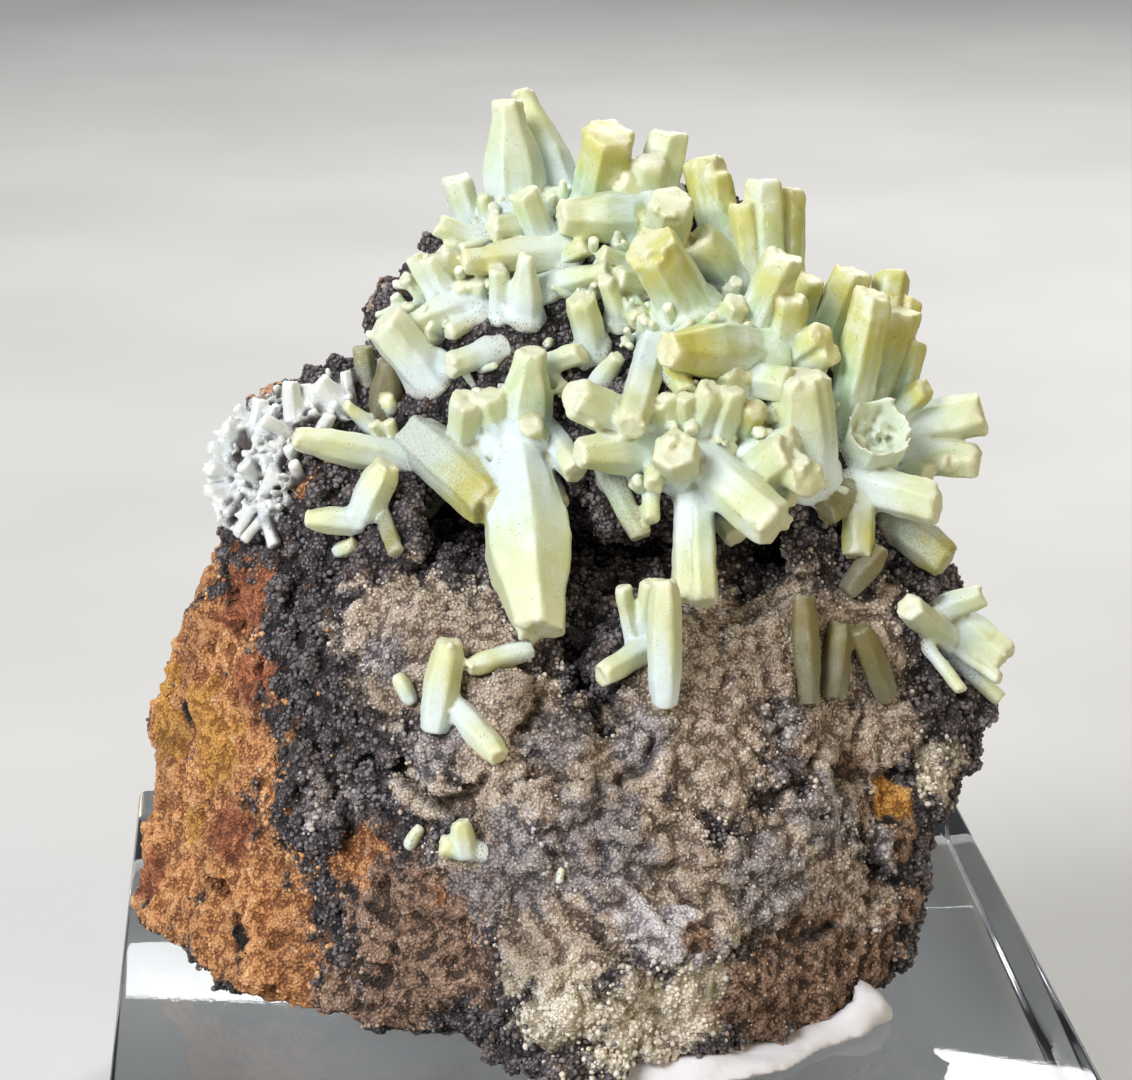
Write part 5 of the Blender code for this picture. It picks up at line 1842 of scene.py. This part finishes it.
    def build(self, field_of: GrainField, dressing: Material) -> Piece:
        """Model the grains of one area as one mesh.

        Args:
            field_of: The area.
            dressing: Their material.

        Returns:
            The piece.
        """
        points, ways = self.spread(field_of)
        draw = np.random.default_rng(field_of.seed + 1)
        clump = np.clip(noise_at(points, self.CLUMP, 5.0) + 0.5, 0.0, 1.0)
        own = draw.uniform(0.0, 1.0, len(points)) ** self.SMALL_POWER
        part = np.clip(clump * self.CLUMP_SHARE + own * self.CLUMP_SHARE, 0.0, 1.0)
        size = field_of.smallest + (field_of.largest - field_of.smallest) * part
        shares = self.kinds.shares(points)
        earthy = np.max([shares[kind] for kind in self.FINE_KINDS], axis=0)
        size = size * (1.0 - earthy * self.FINENESS)
        work = bmesh.new()
        bmesh.ops.create_icosphere(work, subdivisions=1, radius=1.0)
        ball = np.array([vert.co[:] for vert in work.verts])
        faces = np.array([[vert.index for vert in face.verts] for face in work.faces])
        work.free()
        shape = draw.uniform(*self.UNEVEN, (len(points), 1, 3))
        spin = random_turns(draw, len(points))
        balls = np.einsum("nij,vj->nvi", spin, ball) * shape * size[:, None, None]
        centres = points + ways * (size * draw.uniform(*self.LIFTS, len(points)))[:, None]
        verts = (balls + centres[:, None, :]).reshape(-1, 3)
        offsets = (np.arange(len(points)) * len(ball))[:, None, None]
        piece = mesh_piece(field_of.name, verts, (faces[None] + offsets).reshape(-1, 3))
        self.paint(piece.data, centres, ball, balls, ways, draw)
        settle(piece, "matrix_stone", dressing)
        return piece

    def paint(self, mesh: Mesh, centres: Rows, ball: Rows, balls: Rows,
              ways: Rows, draw: np.random.Generator) -> None:
        """Give each grain a shade of its own and the kind of the stone under it, with painted shade in
        crevices and a painted highlight on its top.

        Args:
            mesh: The grains' mesh.
            centres: One row for each grain's middle.
            ball: The points of a plain ball.
            balls: The points of each grain, about its middle.
            ways: The stone's normal at each grain.
            draw: Where the shades are drawn from.
        """
        shade = draw.beta(*self.SHADES, len(centres))
        put_value(mesh, "shade", np.repeat(shade, len(ball)))
        # Painted shade in the crevices
        put_value(mesh, "hollow", np.repeat(self.kinds.hollows(centres)[0], len(ball)))
        # Painted light and shade: each grain is lighter on top and darker towards the stone
        height = np.einsum("nvi,ni->nv", balls, ways)
        height = height / (np.abs(height).max(axis=1, keepdims=True) + 1e-12)
        put_value(mesh, "ridge", height.reshape(-1))
        for kind, share in self.kinds.shares(centres).items():
            picked = share + draw.uniform(-self.KIND_SPREAD, self.KIND_SPREAD, len(centres)) > 0.5
            put_value(mesh, kind.layer, np.repeat(picked.astype(float), len(ball)))


def random_turns(draw: np.random.Generator, count: int) -> Rows:
    """Rotation matrices that point every way alike.

    Args:
        draw: Where they are drawn from.
        count: How many.

    Returns:
        One matrix for each.
    """
    quats = draw.normal(size=(count, 4))
    quats /= np.linalg.norm(quats, axis=1, keepdims=True)
    w, x, y, z = quats.T
    return np.stack([
        np.stack([1 - 2 * (y * y + z * z), 2 * (x * y - z * w), 2 * (x * z + y * w)], axis=-1),
        np.stack([2 * (x * y + z * w), 1 - 2 * (x * x + z * z), 2 * (y * z - x * w)], axis=-1),
        np.stack([2 * (x * z - y * w), 2 * (y * z + x * w), 1 - 2 * (x * x + y * y)], axis=-1),
    ], axis=1)


def random_way(draw: Random) -> Vector:
    """A vector that may point any way, mostly one or two units long."""
    return Vector((draw.gauss(0.0, 1.0), draw.gauss(0.0, 1.0), draw.gauss(0.0, 1.0)))


# The white druse's groove and side tints are painted shade, as on the crystals
WHITE_FROST = PorcelainFinish(
    name="white_druse_frost", foot="e6eaec", plain="e2e6e4", mint="d5dcd2", yellow="e0ddc6",
    cream="eeeeea", ochre="b3a594", painted_groove_shade="4f4846", frost="f6f7f7", painted_shade_tint="cfcdbd",
    root="4a4341", root_share=1.0,
)


@dataclass(frozen=True)
class Lump:
    """A low rounded lump on the stone, with how many blebs stand on it."""

    centre: Vector
    way: Vector
    reach: float
    thick: float
    blebs: int = 0


@dataclass
class CrystalPiece:
    """The crystals of one cluster, grown together into one skin."""

    cluster: str
    growths: list[Growth]
    stone: Stone
    nodes: tuple[str, ...]
    lumps: list[Lump] = field(default_factory=list)
    slot: str = "plumbogummite"
    grain: float = 0.09 * MM
    softening: int = 7
    kept: float = 0.44
    flute: Triple = (0.42 * MM, 0.42 * MM, 3.0 * MM)
    flute_depth: float = 0.04 * MM
    lump: float = 0.7 * MM
    lump_depth: float = 0.06 * MM
    grit: float = 0.2 * MM
    grit_depth: float = 0.008 * MM
    deep_reach: float = 0.9 * MM
    flute_shift: Triple = (0.0031, 0.0017, 0.0)
    streak_squeeze: float = 0.16
    streak_shift: float = 0.0137
    # Painted shade: the way that the shaded side of each crystal faces
    painted_shade_way: Triple = (0.72, -0.62, -0.31)
    bleb_sizes: tuple[float, float] = (0.07 * MM, 0.16 * MM)
    bleb_stretch: tuple[float, float] = (0.8, 2.4)
    bleb_limit: float = -0.3
    ragged_size: float = 0.45 * MM
    ragged_height: float = 0.16

    def build(self, dressing: Material) -> Piece:
        """Model the crystals as one skin.

        Args:
            dressing: Their material.

        Returns:
            The piece.
        """
        shells = Shells()
        for growth in self.growths:
            shells.take(growth.shells())
        for number, lump in enumerate(self.lumps):
            work = bmesh.new()
            self.add_lump(work, lump, Random(number * 7 + 3))
            shells.take(work)
        piece = shells.piece("fine_" + self.cluster)
        reskin(piece, self.grain, self.softening, kept=self.kept)
        self.weather(piece.data)
        settle(piece, self.slot, dressing, *self.nodes)
        return piece

    def add_lump(self, work: Work, lump: Lump, draw: Random) -> None:
        """Add a low lump and the blebs and needles that cover it.

        Args:
            work: The working mesh.
            lump: The lump.
            draw: Where the blebs are drawn from.
        """
        made = bmesh.ops.create_icosphere(work, subdivisions=3, radius=lump.reach)
        for vert in made["verts"]:
            ragged = noise.noise(vert.co / self.ragged_size + lump.centre / MM) * self.ragged_height * MM
            vert.co += vert.co.normalized() * ragged
            vert.co -= lump.way * vert.co.dot(lump.way) * (1.0 - lump.thick)
            vert.co += lump.centre
        for _ in range(lump.blebs):
            way = random_way(draw).normalized()
            size = draw.uniform(*self.bleb_sizes)
            stretch = draw.uniform(*self.bleb_stretch)
            if way.dot(lump.way) < self.bleb_limit:
                continue
            flat = way - lump.way * way.dot(lump.way) * (1.0 - lump.thick)
            place = Matrix.Translation(lump.centre + flat * lump.reach)
            stand = way.to_track_quat("Z", "Y").to_matrix().to_4x4()
            shape = place @ stand @ Matrix.Diagonal((1.0, 1.0, stretch, 1.0))
            bmesh.ops.create_icosphere(work, subdivisions=2, radius=size, matrix=shape)

    def owners(self, points: Rows) -> tuple[Rows, Rows]:
        """Find which crystal each point belongs to, and where it is in that crystal's frame.

        Args:
            points: One row for each point.

        Returns:
            The crystal's row for each point, and the point in the crystal's own frame.
        """
        best = np.full(len(points), np.inf)
        owner = np.zeros(len(points), dtype=int)
        place = np.zeros_like(points)
        for row, growth in enumerate(self.growths):
            local = growth.local(points)
            over = np.maximum(np.maximum(local[:, 2] - growth.length, -local[:, 2]), 0.0)
            away = np.hypot(np.hypot(local[:, 0], local[:, 1]), over) / growth.radius
            nearer = away < best
            best[nearer] = away[nearer]
            owner[nearer] = row
            place[nearer] = local[nearer]
        return owner, place

    def weather(self, mesh: Mesh) -> None:
        """Flute and roughen the skin, and keep what its material reads.

        Args:
            mesh: The skin.
        """
        points = points_of(mesh)
        ways = normals_of(mesh)
        owner, place = self.owners(points)
        shift = owner[:, None] * np.array(self.flute_shift)
        flute = noise_at(place + shift, self.flute, 21.0)
        lump = noise_at(points, self.lump, 22.0)
        grit = noise_at(points, self.grit, 23.0)
        amount = flute * self.flute_depth + lump * self.lump_depth + grit * self.grit_depth
        put_points(mesh, points + ways * amount[:, None])
        self.keep(mesh, points, owner, place)

    def keep(self, mesh: Mesh, points: Rows, owner: Rows, place: Rows) -> None:
        """Keep the values that the crystals' material reads.

        Args:
            mesh: The mesh.
            points: Its points.
            owner: Each point's crystal.
            place: Each point in its crystal's own frame.
        """
        lengths = np.array([growth.length for growth in self.growths])[owner]
        sunk = np.array([growth.sunk for growth in self.growths])[owner]
        put_value(mesh, "along", np.clip((place[:, 2] - sunk) / (lengths - sunk), 0.0, 1.0))
        for name in ("ripe", "green", "coat", "pale"):
            level = np.array([getattr(growth.tint, name) for growth in self.growths])
            put_value(mesh, name, level[owner])
        away = np.array([self.stone.tree.find_nearest(Vector(point))[3] for point in points])
        put_value(mesh, "deep", 1.0 - smooth_step(0.0, self.deep_reach, away))
        put_value(mesh, "ridge", np.clip(ridges_of(mesh, 2), -1.0, 1.0))
        # Painted shade: how far each point faces right, front and down, away from the key light
        painted_shade_side = normals_of(mesh) @ np.array(self.painted_shade_way)
        put_value(mesh, "painted_shade_side", np.clip(painted_shade_side, 0.0, 1.0))
        squeezed = place * np.array((1.0, 1.0, self.streak_squeeze))
        put_vector(mesh, "lengthwise", squeezed + owner[:, None] * self.streak_shift)


@dataclass(frozen=True)
class Thicket:
    """A patch in the frame where very small crystals stand close together."""

    px: float
    py: float
    reach: Pixel
    count: int
    wide: Pixel = (9.0, 18.0)
    long: Pixel = (14.0, 36.0)

    def places(self, draw: Random) -> list[Pixel]:
        """Places spread evenly over the patch.

        Args:
            draw: Where they are drawn from.

        Returns:
            The places in the frame.
        """
        made = []
        for _ in range(self.count):
            angle = draw.uniform(0.0, math.tau)
            away = math.sqrt(draw.random())
            made.append((
                self.px + self.reach[0] * away * math.cos(angle),
                self.py + self.reach[1] * away * math.sin(angle),
            ))
        return made


THICKETS: dict[str, tuple[Thicket, ...]] = {
    "filling": (
        Thicket(500, 232, (52, 22), 26), Thicket(590, 232, (62, 28), 26),
        Thicket(655, 262, (48, 30), 20), Thicket(470, 285, (30, 24), 16),
        Thicket(430, 322, (34, 26), 18), Thicket(425, 290, (22, 20), 10),
        Thicket(690, 315, (60, 26), 24), Thicket(755, 330, (40, 36), 20),
        Thicket(640, 325, (24, 26), 12), Thicket(835, 375, (42, 40), 24),
        Thicket(700, 430, (64, 40), 40), Thicket(800, 430, (46, 40), 24),
        Thicket(640, 470, (40, 22), 12), Thicket(505, 395, (40, 34), 18),
        Thicket(845, 480, (40, 28), 18), Thicket(575, 300, (26, 22), 10),
    ),
    "white_druse": tuple(
        Thicket(*row, wide=(4.0, 9.0), long=(6.0, 16.0)) for row in (
            (240, 440, (30, 34), 70), (285, 425, (34, 30), 60), (325, 405, (30, 24), 34),
            (235, 495, (28, 34), 70), (272, 480, (26, 40), 50),
        )
    ),
}

# Places in the frame that the thickets leave bare: middle, half width and half height
BARE_PLACES = (
    (530.0, 328.0, 72.0, 34.0), (425.0, 408.0, 28.0, 30.0), (615.0, 560.0, 60.0, 80.0),
    (596.0, 470.0, 34.0, 20.0), (250.0, 441.0, 9.0, 10.0), (575.0, 340.0, 22.0, 26.0),
)


class Crystals:
    """All of the specimen's crystals, sorted into the clusters that have grown together."""

    JOINED_HOST = "centre_spray"
    JOINED_NODE = "summit_crystals_1"
    FEET = {"crown": 1.3, "upper_left": 1.2, "upper_middle": 1.3, "upper_right": 1.3, "east_fan": 1.3,
            "east_spray": 1.1, "centre_spray": 1.15, "west_spray": 0.95}
    FOOT_THICK = 0.55
    WHITE_BLEBS = 34
    LUMP_REACH = 0.7
    LUMP_THICK = 0.35
    JITTER = 0.5
    LEAST_UPRIGHT = 0.25
    TIP_SHARES = (0.6, 0.96)
    SMALL_GRAIN = 0.08 * MM
    SMALL_SOFTENING = 2
    ROOTED = 0.25 * MM
    CLEAR_SHARE = 0.75
    SEED = 61

    def __init__(self, stone: Stone, nodes: dict[str, Piece]) -> None:
        """Set every crystal down on the stone.

        Args:
            stone: The stone.
            nodes: The specimen's solids by name.
        """
        self.stone = stone
        self.nodes = nodes
        self.growths: list[Growth] = []
        for cluster, rows in (*CLUSTERS.items(), ("white_druse", WHITE_DRUSE)):
            for place, crystal in enumerate(rows):
                number = len(self.growths) + 1
                self.growths.append(stone.set_down(crystal, number, cluster, place))
        large = list(self.growths)
        for cluster, thickets in THICKETS.items():
            draw = Random(self.SEED + len(cluster))
            for thicket in thickets:
                self.grow_thicket(cluster, thicket, large, draw)

    def grow_thicket(self, cluster: str, thicket: Thicket, large: list[Growth], draw: Random) -> None:
        """Grow the small crystals of one thicket, clear of the large ones and of the bare places.

        Args:
            cluster: The cluster that they belong to.
            thicket: The thicket.
            large: The large crystals.
            draw: Where their differences come from.
        """
        for px, py in thicket.places(draw):
            jitter = random_way(draw)
            wide = draw.uniform(*thicket.wide)
            long = draw.uniform(*thicket.long) * PHOTO.pixel
            if any(math.hypot((px - x) / a, (py - y) / b) < 1.0 for x, y, a, b in BARE_PLACES):
                continue
            hit, way = self.stone.tree.ray_cast(PHOTO.EYE, PHOTO.sight(px, py).normalized())[:2]
            if hit is None or (cluster == "filling" and self.is_taken(hit, large)):
                continue
            grow = (way + jitter * self.JITTER).normalized()
            if grow.dot(way) < self.LEAST_UPRIGHT:
                grow = (grow + way).normalized()
            crystal = Crystal((px, py), (px, py), wide, tip_share=draw.choice(self.TIP_SHARES))
            number = len(self.growths) + 1
            tint = CLUSTER_TINTS[cluster]
            radius = wide * 0.5 * PHOTO.pixel
            tip = hit + grow * long
            self.growths.append(Growth(crystal, hit, tip, radius, number, tint, cluster, self.ROOTED))

    def is_taken(self, point: Vector, large: list[Growth]) -> bool:
        """Whether a point is inside a large crystal."""
        for growth in large:
            along = (point - growth.foot).dot(growth.axis)
            if 0.0 < along < growth.length:
                beside = (point - growth.foot - growth.axis * along).length
                if beside < growth.radius * self.CLEAR_SHARE:
                    return True
        return False

    def nodes_of(self, cluster: str) -> tuple[str, ...]:
        """The solids that a cluster stands for.

        Args:
            cluster: The cluster's name.

        Returns:
            The solids' names, sorted.
        """
        starts = (cluster + "_crystals_", cluster + "_")
        own = [name for name in self.nodes if name.startswith(starts) and name[-1].isdigit()]
        if cluster == self.JOINED_HOST:
            own.append(self.JOINED_NODE)
        return tuple(sorted(own))

    def feet_of(self, growths: list[Growth], share: float) -> list[Lump]:
        """The mounds of pale crust round the feet of a cluster's crystals.

        Args:
            growths: The crystals.
            share: How wide the mounds are beside them.

        Returns:
            One mound for each crystal.
        """
        made = []
        for growth in growths:
            place, way = self.stone.tree.find_nearest(growth.foot)[:2]
            made.append(Lump(place, way, growth.radius * share, self.FOOT_THICK, 1))
        return made

    def white_lumps(self) -> list[Lump]:
        """The low white lumps of the left shoulder.

        Returns:
            The lumps, in the order of their table.
        """
        made = []
        for px, py, wide, thick in WHITE_LUMPS:
            reach = wide * 0.5 * PHOTO.pixel * self.LUMP_REACH
            thick *= self.LUMP_THICK
            made.append(Lump(self.stone.point(px, py), -PHOTO.forward, reach, thick, self.WHITE_BLEBS))
        return made

    def pieces(self) -> list[CrystalPiece]:
        """Sort the crystals into pieces.

        Returns:
            One piece for each cluster, in the order of the tables.
        """
        made: list[CrystalPiece] = []
        for cluster in dict.fromkeys(growth.cluster for growth in self.growths):
            growths = [growth for growth in self.growths if growth.cluster == cluster]
            piece = CrystalPiece(cluster, growths, self.stone, self.nodes_of(cluster))
            if cluster in self.FEET:
                piece.lumps = self.feet_of(growths, self.FEET[cluster])
            if cluster == "white_druse":
                piece.lumps = self.white_lumps()
                piece.slot = "white_druse"
            if cluster in THICKETS:
                piece.grain = self.SMALL_GRAIN
                piece.softening = self.SMALL_SOFTENING
            made.append(piece)
        return made


@dataclass(frozen=True)
class PuttyFinish:
    """White mounting putty, matt and a little dirty."""

    name: str = "white_mounting_putty"
    clean: str = "e6e5e8"
    worn: str = "bdb6b2"
    smear_size: float = 1.8 * MM
    dot_size: float = 0.12 * MM
    fold_size: float = 0.5 * MM
    fold_depth: float = 0.06 * MM
    glow: float = 0.08
    glow_depth: float = 0.6 * MM

    def build(self) -> Material:
        """Make the material.

        Returns:
            The material.
        """
        board = Board(self.name)
        smear = board.noise(self.smear_size, 4.0, 0.6)
        dots = board.noise(self.dot_size, 3.0, 0.7)
        grime = board.add(board.ease(smear, 0.5, 0.75), board.ease(dots, 0.62, 0.75))
        colour = board.mix(board.product(grime, 0.5), self.clean, self.worn)
        rough = board.add(0.5, board.product(smear, 0.25))
        relief = board.bump(board.noise(self.fold_size, 4.0), self.fold_depth, 0.6)
        board.set(Base_Color=colour, Roughness=rough, Normal=relief)
        board.set(Subsurface_Weight=self.glow, Subsurface_Scale=self.glow_depth)
        return board.material


@dataclass
class Putty:
    """The blob of putty that holds the stone on its block."""

    node: Piece
    grain: float = 0.3 * MM
    softening: int = 4
    fold: float = 1.6 * MM
    fold_shares: Triple = (1.0, 0.6, 0.4)
    fold_height: float = 0.12 * MM
    floor: float = 12.75 * MM

    def build(self, dressing: Material) -> Piece:
        """Model the putty's soft folds.

        Args:
            dressing: Its material.

        Returns:
            The piece.
        """
        piece = new_piece("fine_putty", self.node.data.copy())
        reskin(piece, self.grain, self.softening)
        points = points_of(piece.data)
        folds = tuple(self.fold * share for share in self.fold_shares)
        amount = noise_at(points, folds, 31.0, 2)
        points = points + normals_of(piece.data) * (amount * self.fold_height)[:, None]
        points[:, 2] = np.maximum(points[:, 2], self.floor)
        put_points(piece.data, points)
        settle(piece, "white_putty", dressing, "putty")
        return piece


@dataclass(frozen=True)
class AcrylicFinish:
    """Clear cast acrylic with faint smears and hairline scratches."""

    name: str = "clear_cast_acrylic"
    tint: str = "f6f9fb"
    ior: float = 1.49
    smear_size: float = 5.0 * MM
    scratch_size: float = 0.3 * MM
    scratch_depth: float = 0.002 * MM
    polish: float = 0.008

    def build(self) -> Material:
        """Make the material.

        Returns:
            The material.
        """
        board = Board(self.name)
        smear = board.noise(self.smear_size, 4.0, 0.6)
        rough = board.add(self.polish, board.ease(smear, 0.55, 0.8, 0.03))
        relief = board.bump(board.noise(self.scratch_size, 2.0), self.scratch_depth, 0.3)
        board.set(Base_Color=self.tint, Roughness=rough, Normal=relief)
        board.set(Transmission_Weight=1.0, IOR=self.ior)
        return board.material


@dataclass
class DisplayBlock:
    """The clear block under the specimen."""

    edge: float = 0.35 * MM
    segments: int = 5
    crease: float = math.radians(30.0)

    def build(self, dressing: Material) -> Piece:
        """Model the block with rounded edges.

        Args:
            dressing: Its material.

        Returns:
            The piece.
        """
        low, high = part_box("display_base")
        work = bmesh.new()
        made = bmesh.ops.create_cube(work, size=1.0)
        size = Matrix.Diagonal((*(Vector(high) - Vector(low)), 1.0))
        middle = Matrix.Translation((Vector(high) + Vector(low)) * 0.5)
        bmesh.ops.transform(work, matrix=middle @ size, verts=made["verts"])
        bmesh.ops.bevel(
            work, geom=list(work.edges), offset=self.edge, segments=self.segments,
            profile=0.5, affect="EDGES",
        )
        piece = from_work("fine_display_base", work)
        settle(piece, "clear_acrylic", dressing, "display_base")
        piece.data.set_sharp_from_angle(angle=self.crease)
        return piece


@dataclass(frozen=True)
class Lamp:
    """A soft square light, aimed at the specimen's middle, in metres and watts."""

    name: str
    azimuth: float
    elevation: float
    distance: float
    size: float
    power: float
    colour: str = WHITE

    def add(self, aim: Vector) -> None:
        """Hang the light.

        Args:
            aim: What it shines on.
        """
        light = bpy.data.lights.new(self.name, "AREA")
        light.size = self.size
        light.energy = self.power
        light.color = hex_colour(self.colour)[:3]
        lamp = bpy.data.objects.new(self.name, light)
        turn, lift = math.radians(self.azimuth), math.radians(self.elevation)
        way = Vector((math.sin(turn) * math.cos(lift), -math.cos(turn) * math.cos(lift), math.sin(lift)))
        lamp.location = aim + way * self.distance
        lamp.rotation_mode = "QUATERNION"
        lamp.rotation_quaternion = way.to_track_quat("Z", "Y")
        bpy.context.scene.collection.objects.link(lamp)


@dataclass
class Studio:
    """The pale floor, the soft lights and the sky round the specimen."""

    lamps: tuple[Lamp, ...] = (
        Lamp("key_light", -47.0, 37.0, 0.34, 0.16, 1.25, "fafbff"),
        Lamp("fill_light", 50.0, 22.0, 0.4, 0.2, 0.42, "ffe7b8"),
        Lamp("back_light", 160.0, 42.0, 0.36, 0.18, 0.9),
    )
    aim: Triple = (0.0, 0.0, 0.028)
    floor_size: float = 3.0
    floor_drop: float = 0.2 * MM
    floor_colours: tuple[str, str] = ("c9c8c5", "d2d1ce")
    floor_cloud: float = 0.05
    sky_colour: str = "e9edf2"
    sky_strength: float = 0.22

    def build(self) -> None:
        """Set up the floor, the lights and the sky."""
        bpy.ops.mesh.primitive_plane_add(size=self.floor_size, location=(0.0, 0.0, -self.floor_drop))
        floor = bpy.context.object
        floor.name = "studio_floor"
        board = Board("pale_floor")
        shade = board.ease(board.noise(self.floor_cloud, 2.0), 0.3, 0.7)
        colour = board.mix(shade, *self.floor_colours)
        board.set(Base_Color=colour, Roughness=0.75)
        floor.data.materials.append(board.material)
        for lamp in self.lamps:
            lamp.add(Vector(self.aim))
        world = bpy.data.worlds.new("studio_sky")
        world.use_nodes = True
        sky = world.node_tree.nodes["Background"]
        sky.inputs["Color"].default_value = hex_colour(self.sky_colour)
        sky.inputs["Strength"].default_value = self.sky_strength
        bpy.context.scene.world = world
        # The finishes hold real colours, so no film curve goes over them
        bpy.context.scene.view_settings.view_transform = "Standard"


GRAIN_FIELDS = (
    GrainField("druse_grains_front", 9000, 0.06 * MM, 0.17 * MM, 0.15 * MM, 41, True),
    GrainField("druse_grains_front_fine", 7500, 0.045 * MM, 0.1 * MM, 0.1 * MM, 42, True),
    GrainField("druse_grains_back", 3500, 0.08 * MM, 0.19 * MM, 0.18 * MM, 43, False),
)


def main() -> None:
    """Build and dress every piece of the specimen, and the studio round it."""
    logging.basicConfig(level=logging.INFO, format="%(relativeCreated)6d ms %(message)s")
    PHOTO.add_camera()
    Studio().build()
    nodes = frame["nodes"]
    stone = Stone(nodes["matrix_rock"])
    kinds = StoneMap(stone)
    crystals = Crystals(stone, nodes)
    porcelain = PorcelainFinish().build()
    frost = WHITE_FROST.build()
    for piece in crystals.pieces():
        piece.build(frost if piece.slot == "white_druse" else porcelain)
    dressing = StoneFinish("matrix_stone").build()
    rock = MatrixRock(stone, kinds).build(dressing, crystals.growths)
    grains = DruseGrains(rock, kinds, crystals.growths)
    dressing = StoneFinish("druse_grains", grains_only=True).build()
    for field_of in GRAIN_FIELDS:
        grains.build(field_of, dressing)
    Putty(nodes["putty"]).build(PuttyFinish().build())
    DisplayBlock().build(AcrylicFinish().build())


if __name__ == "__main__":
    main()
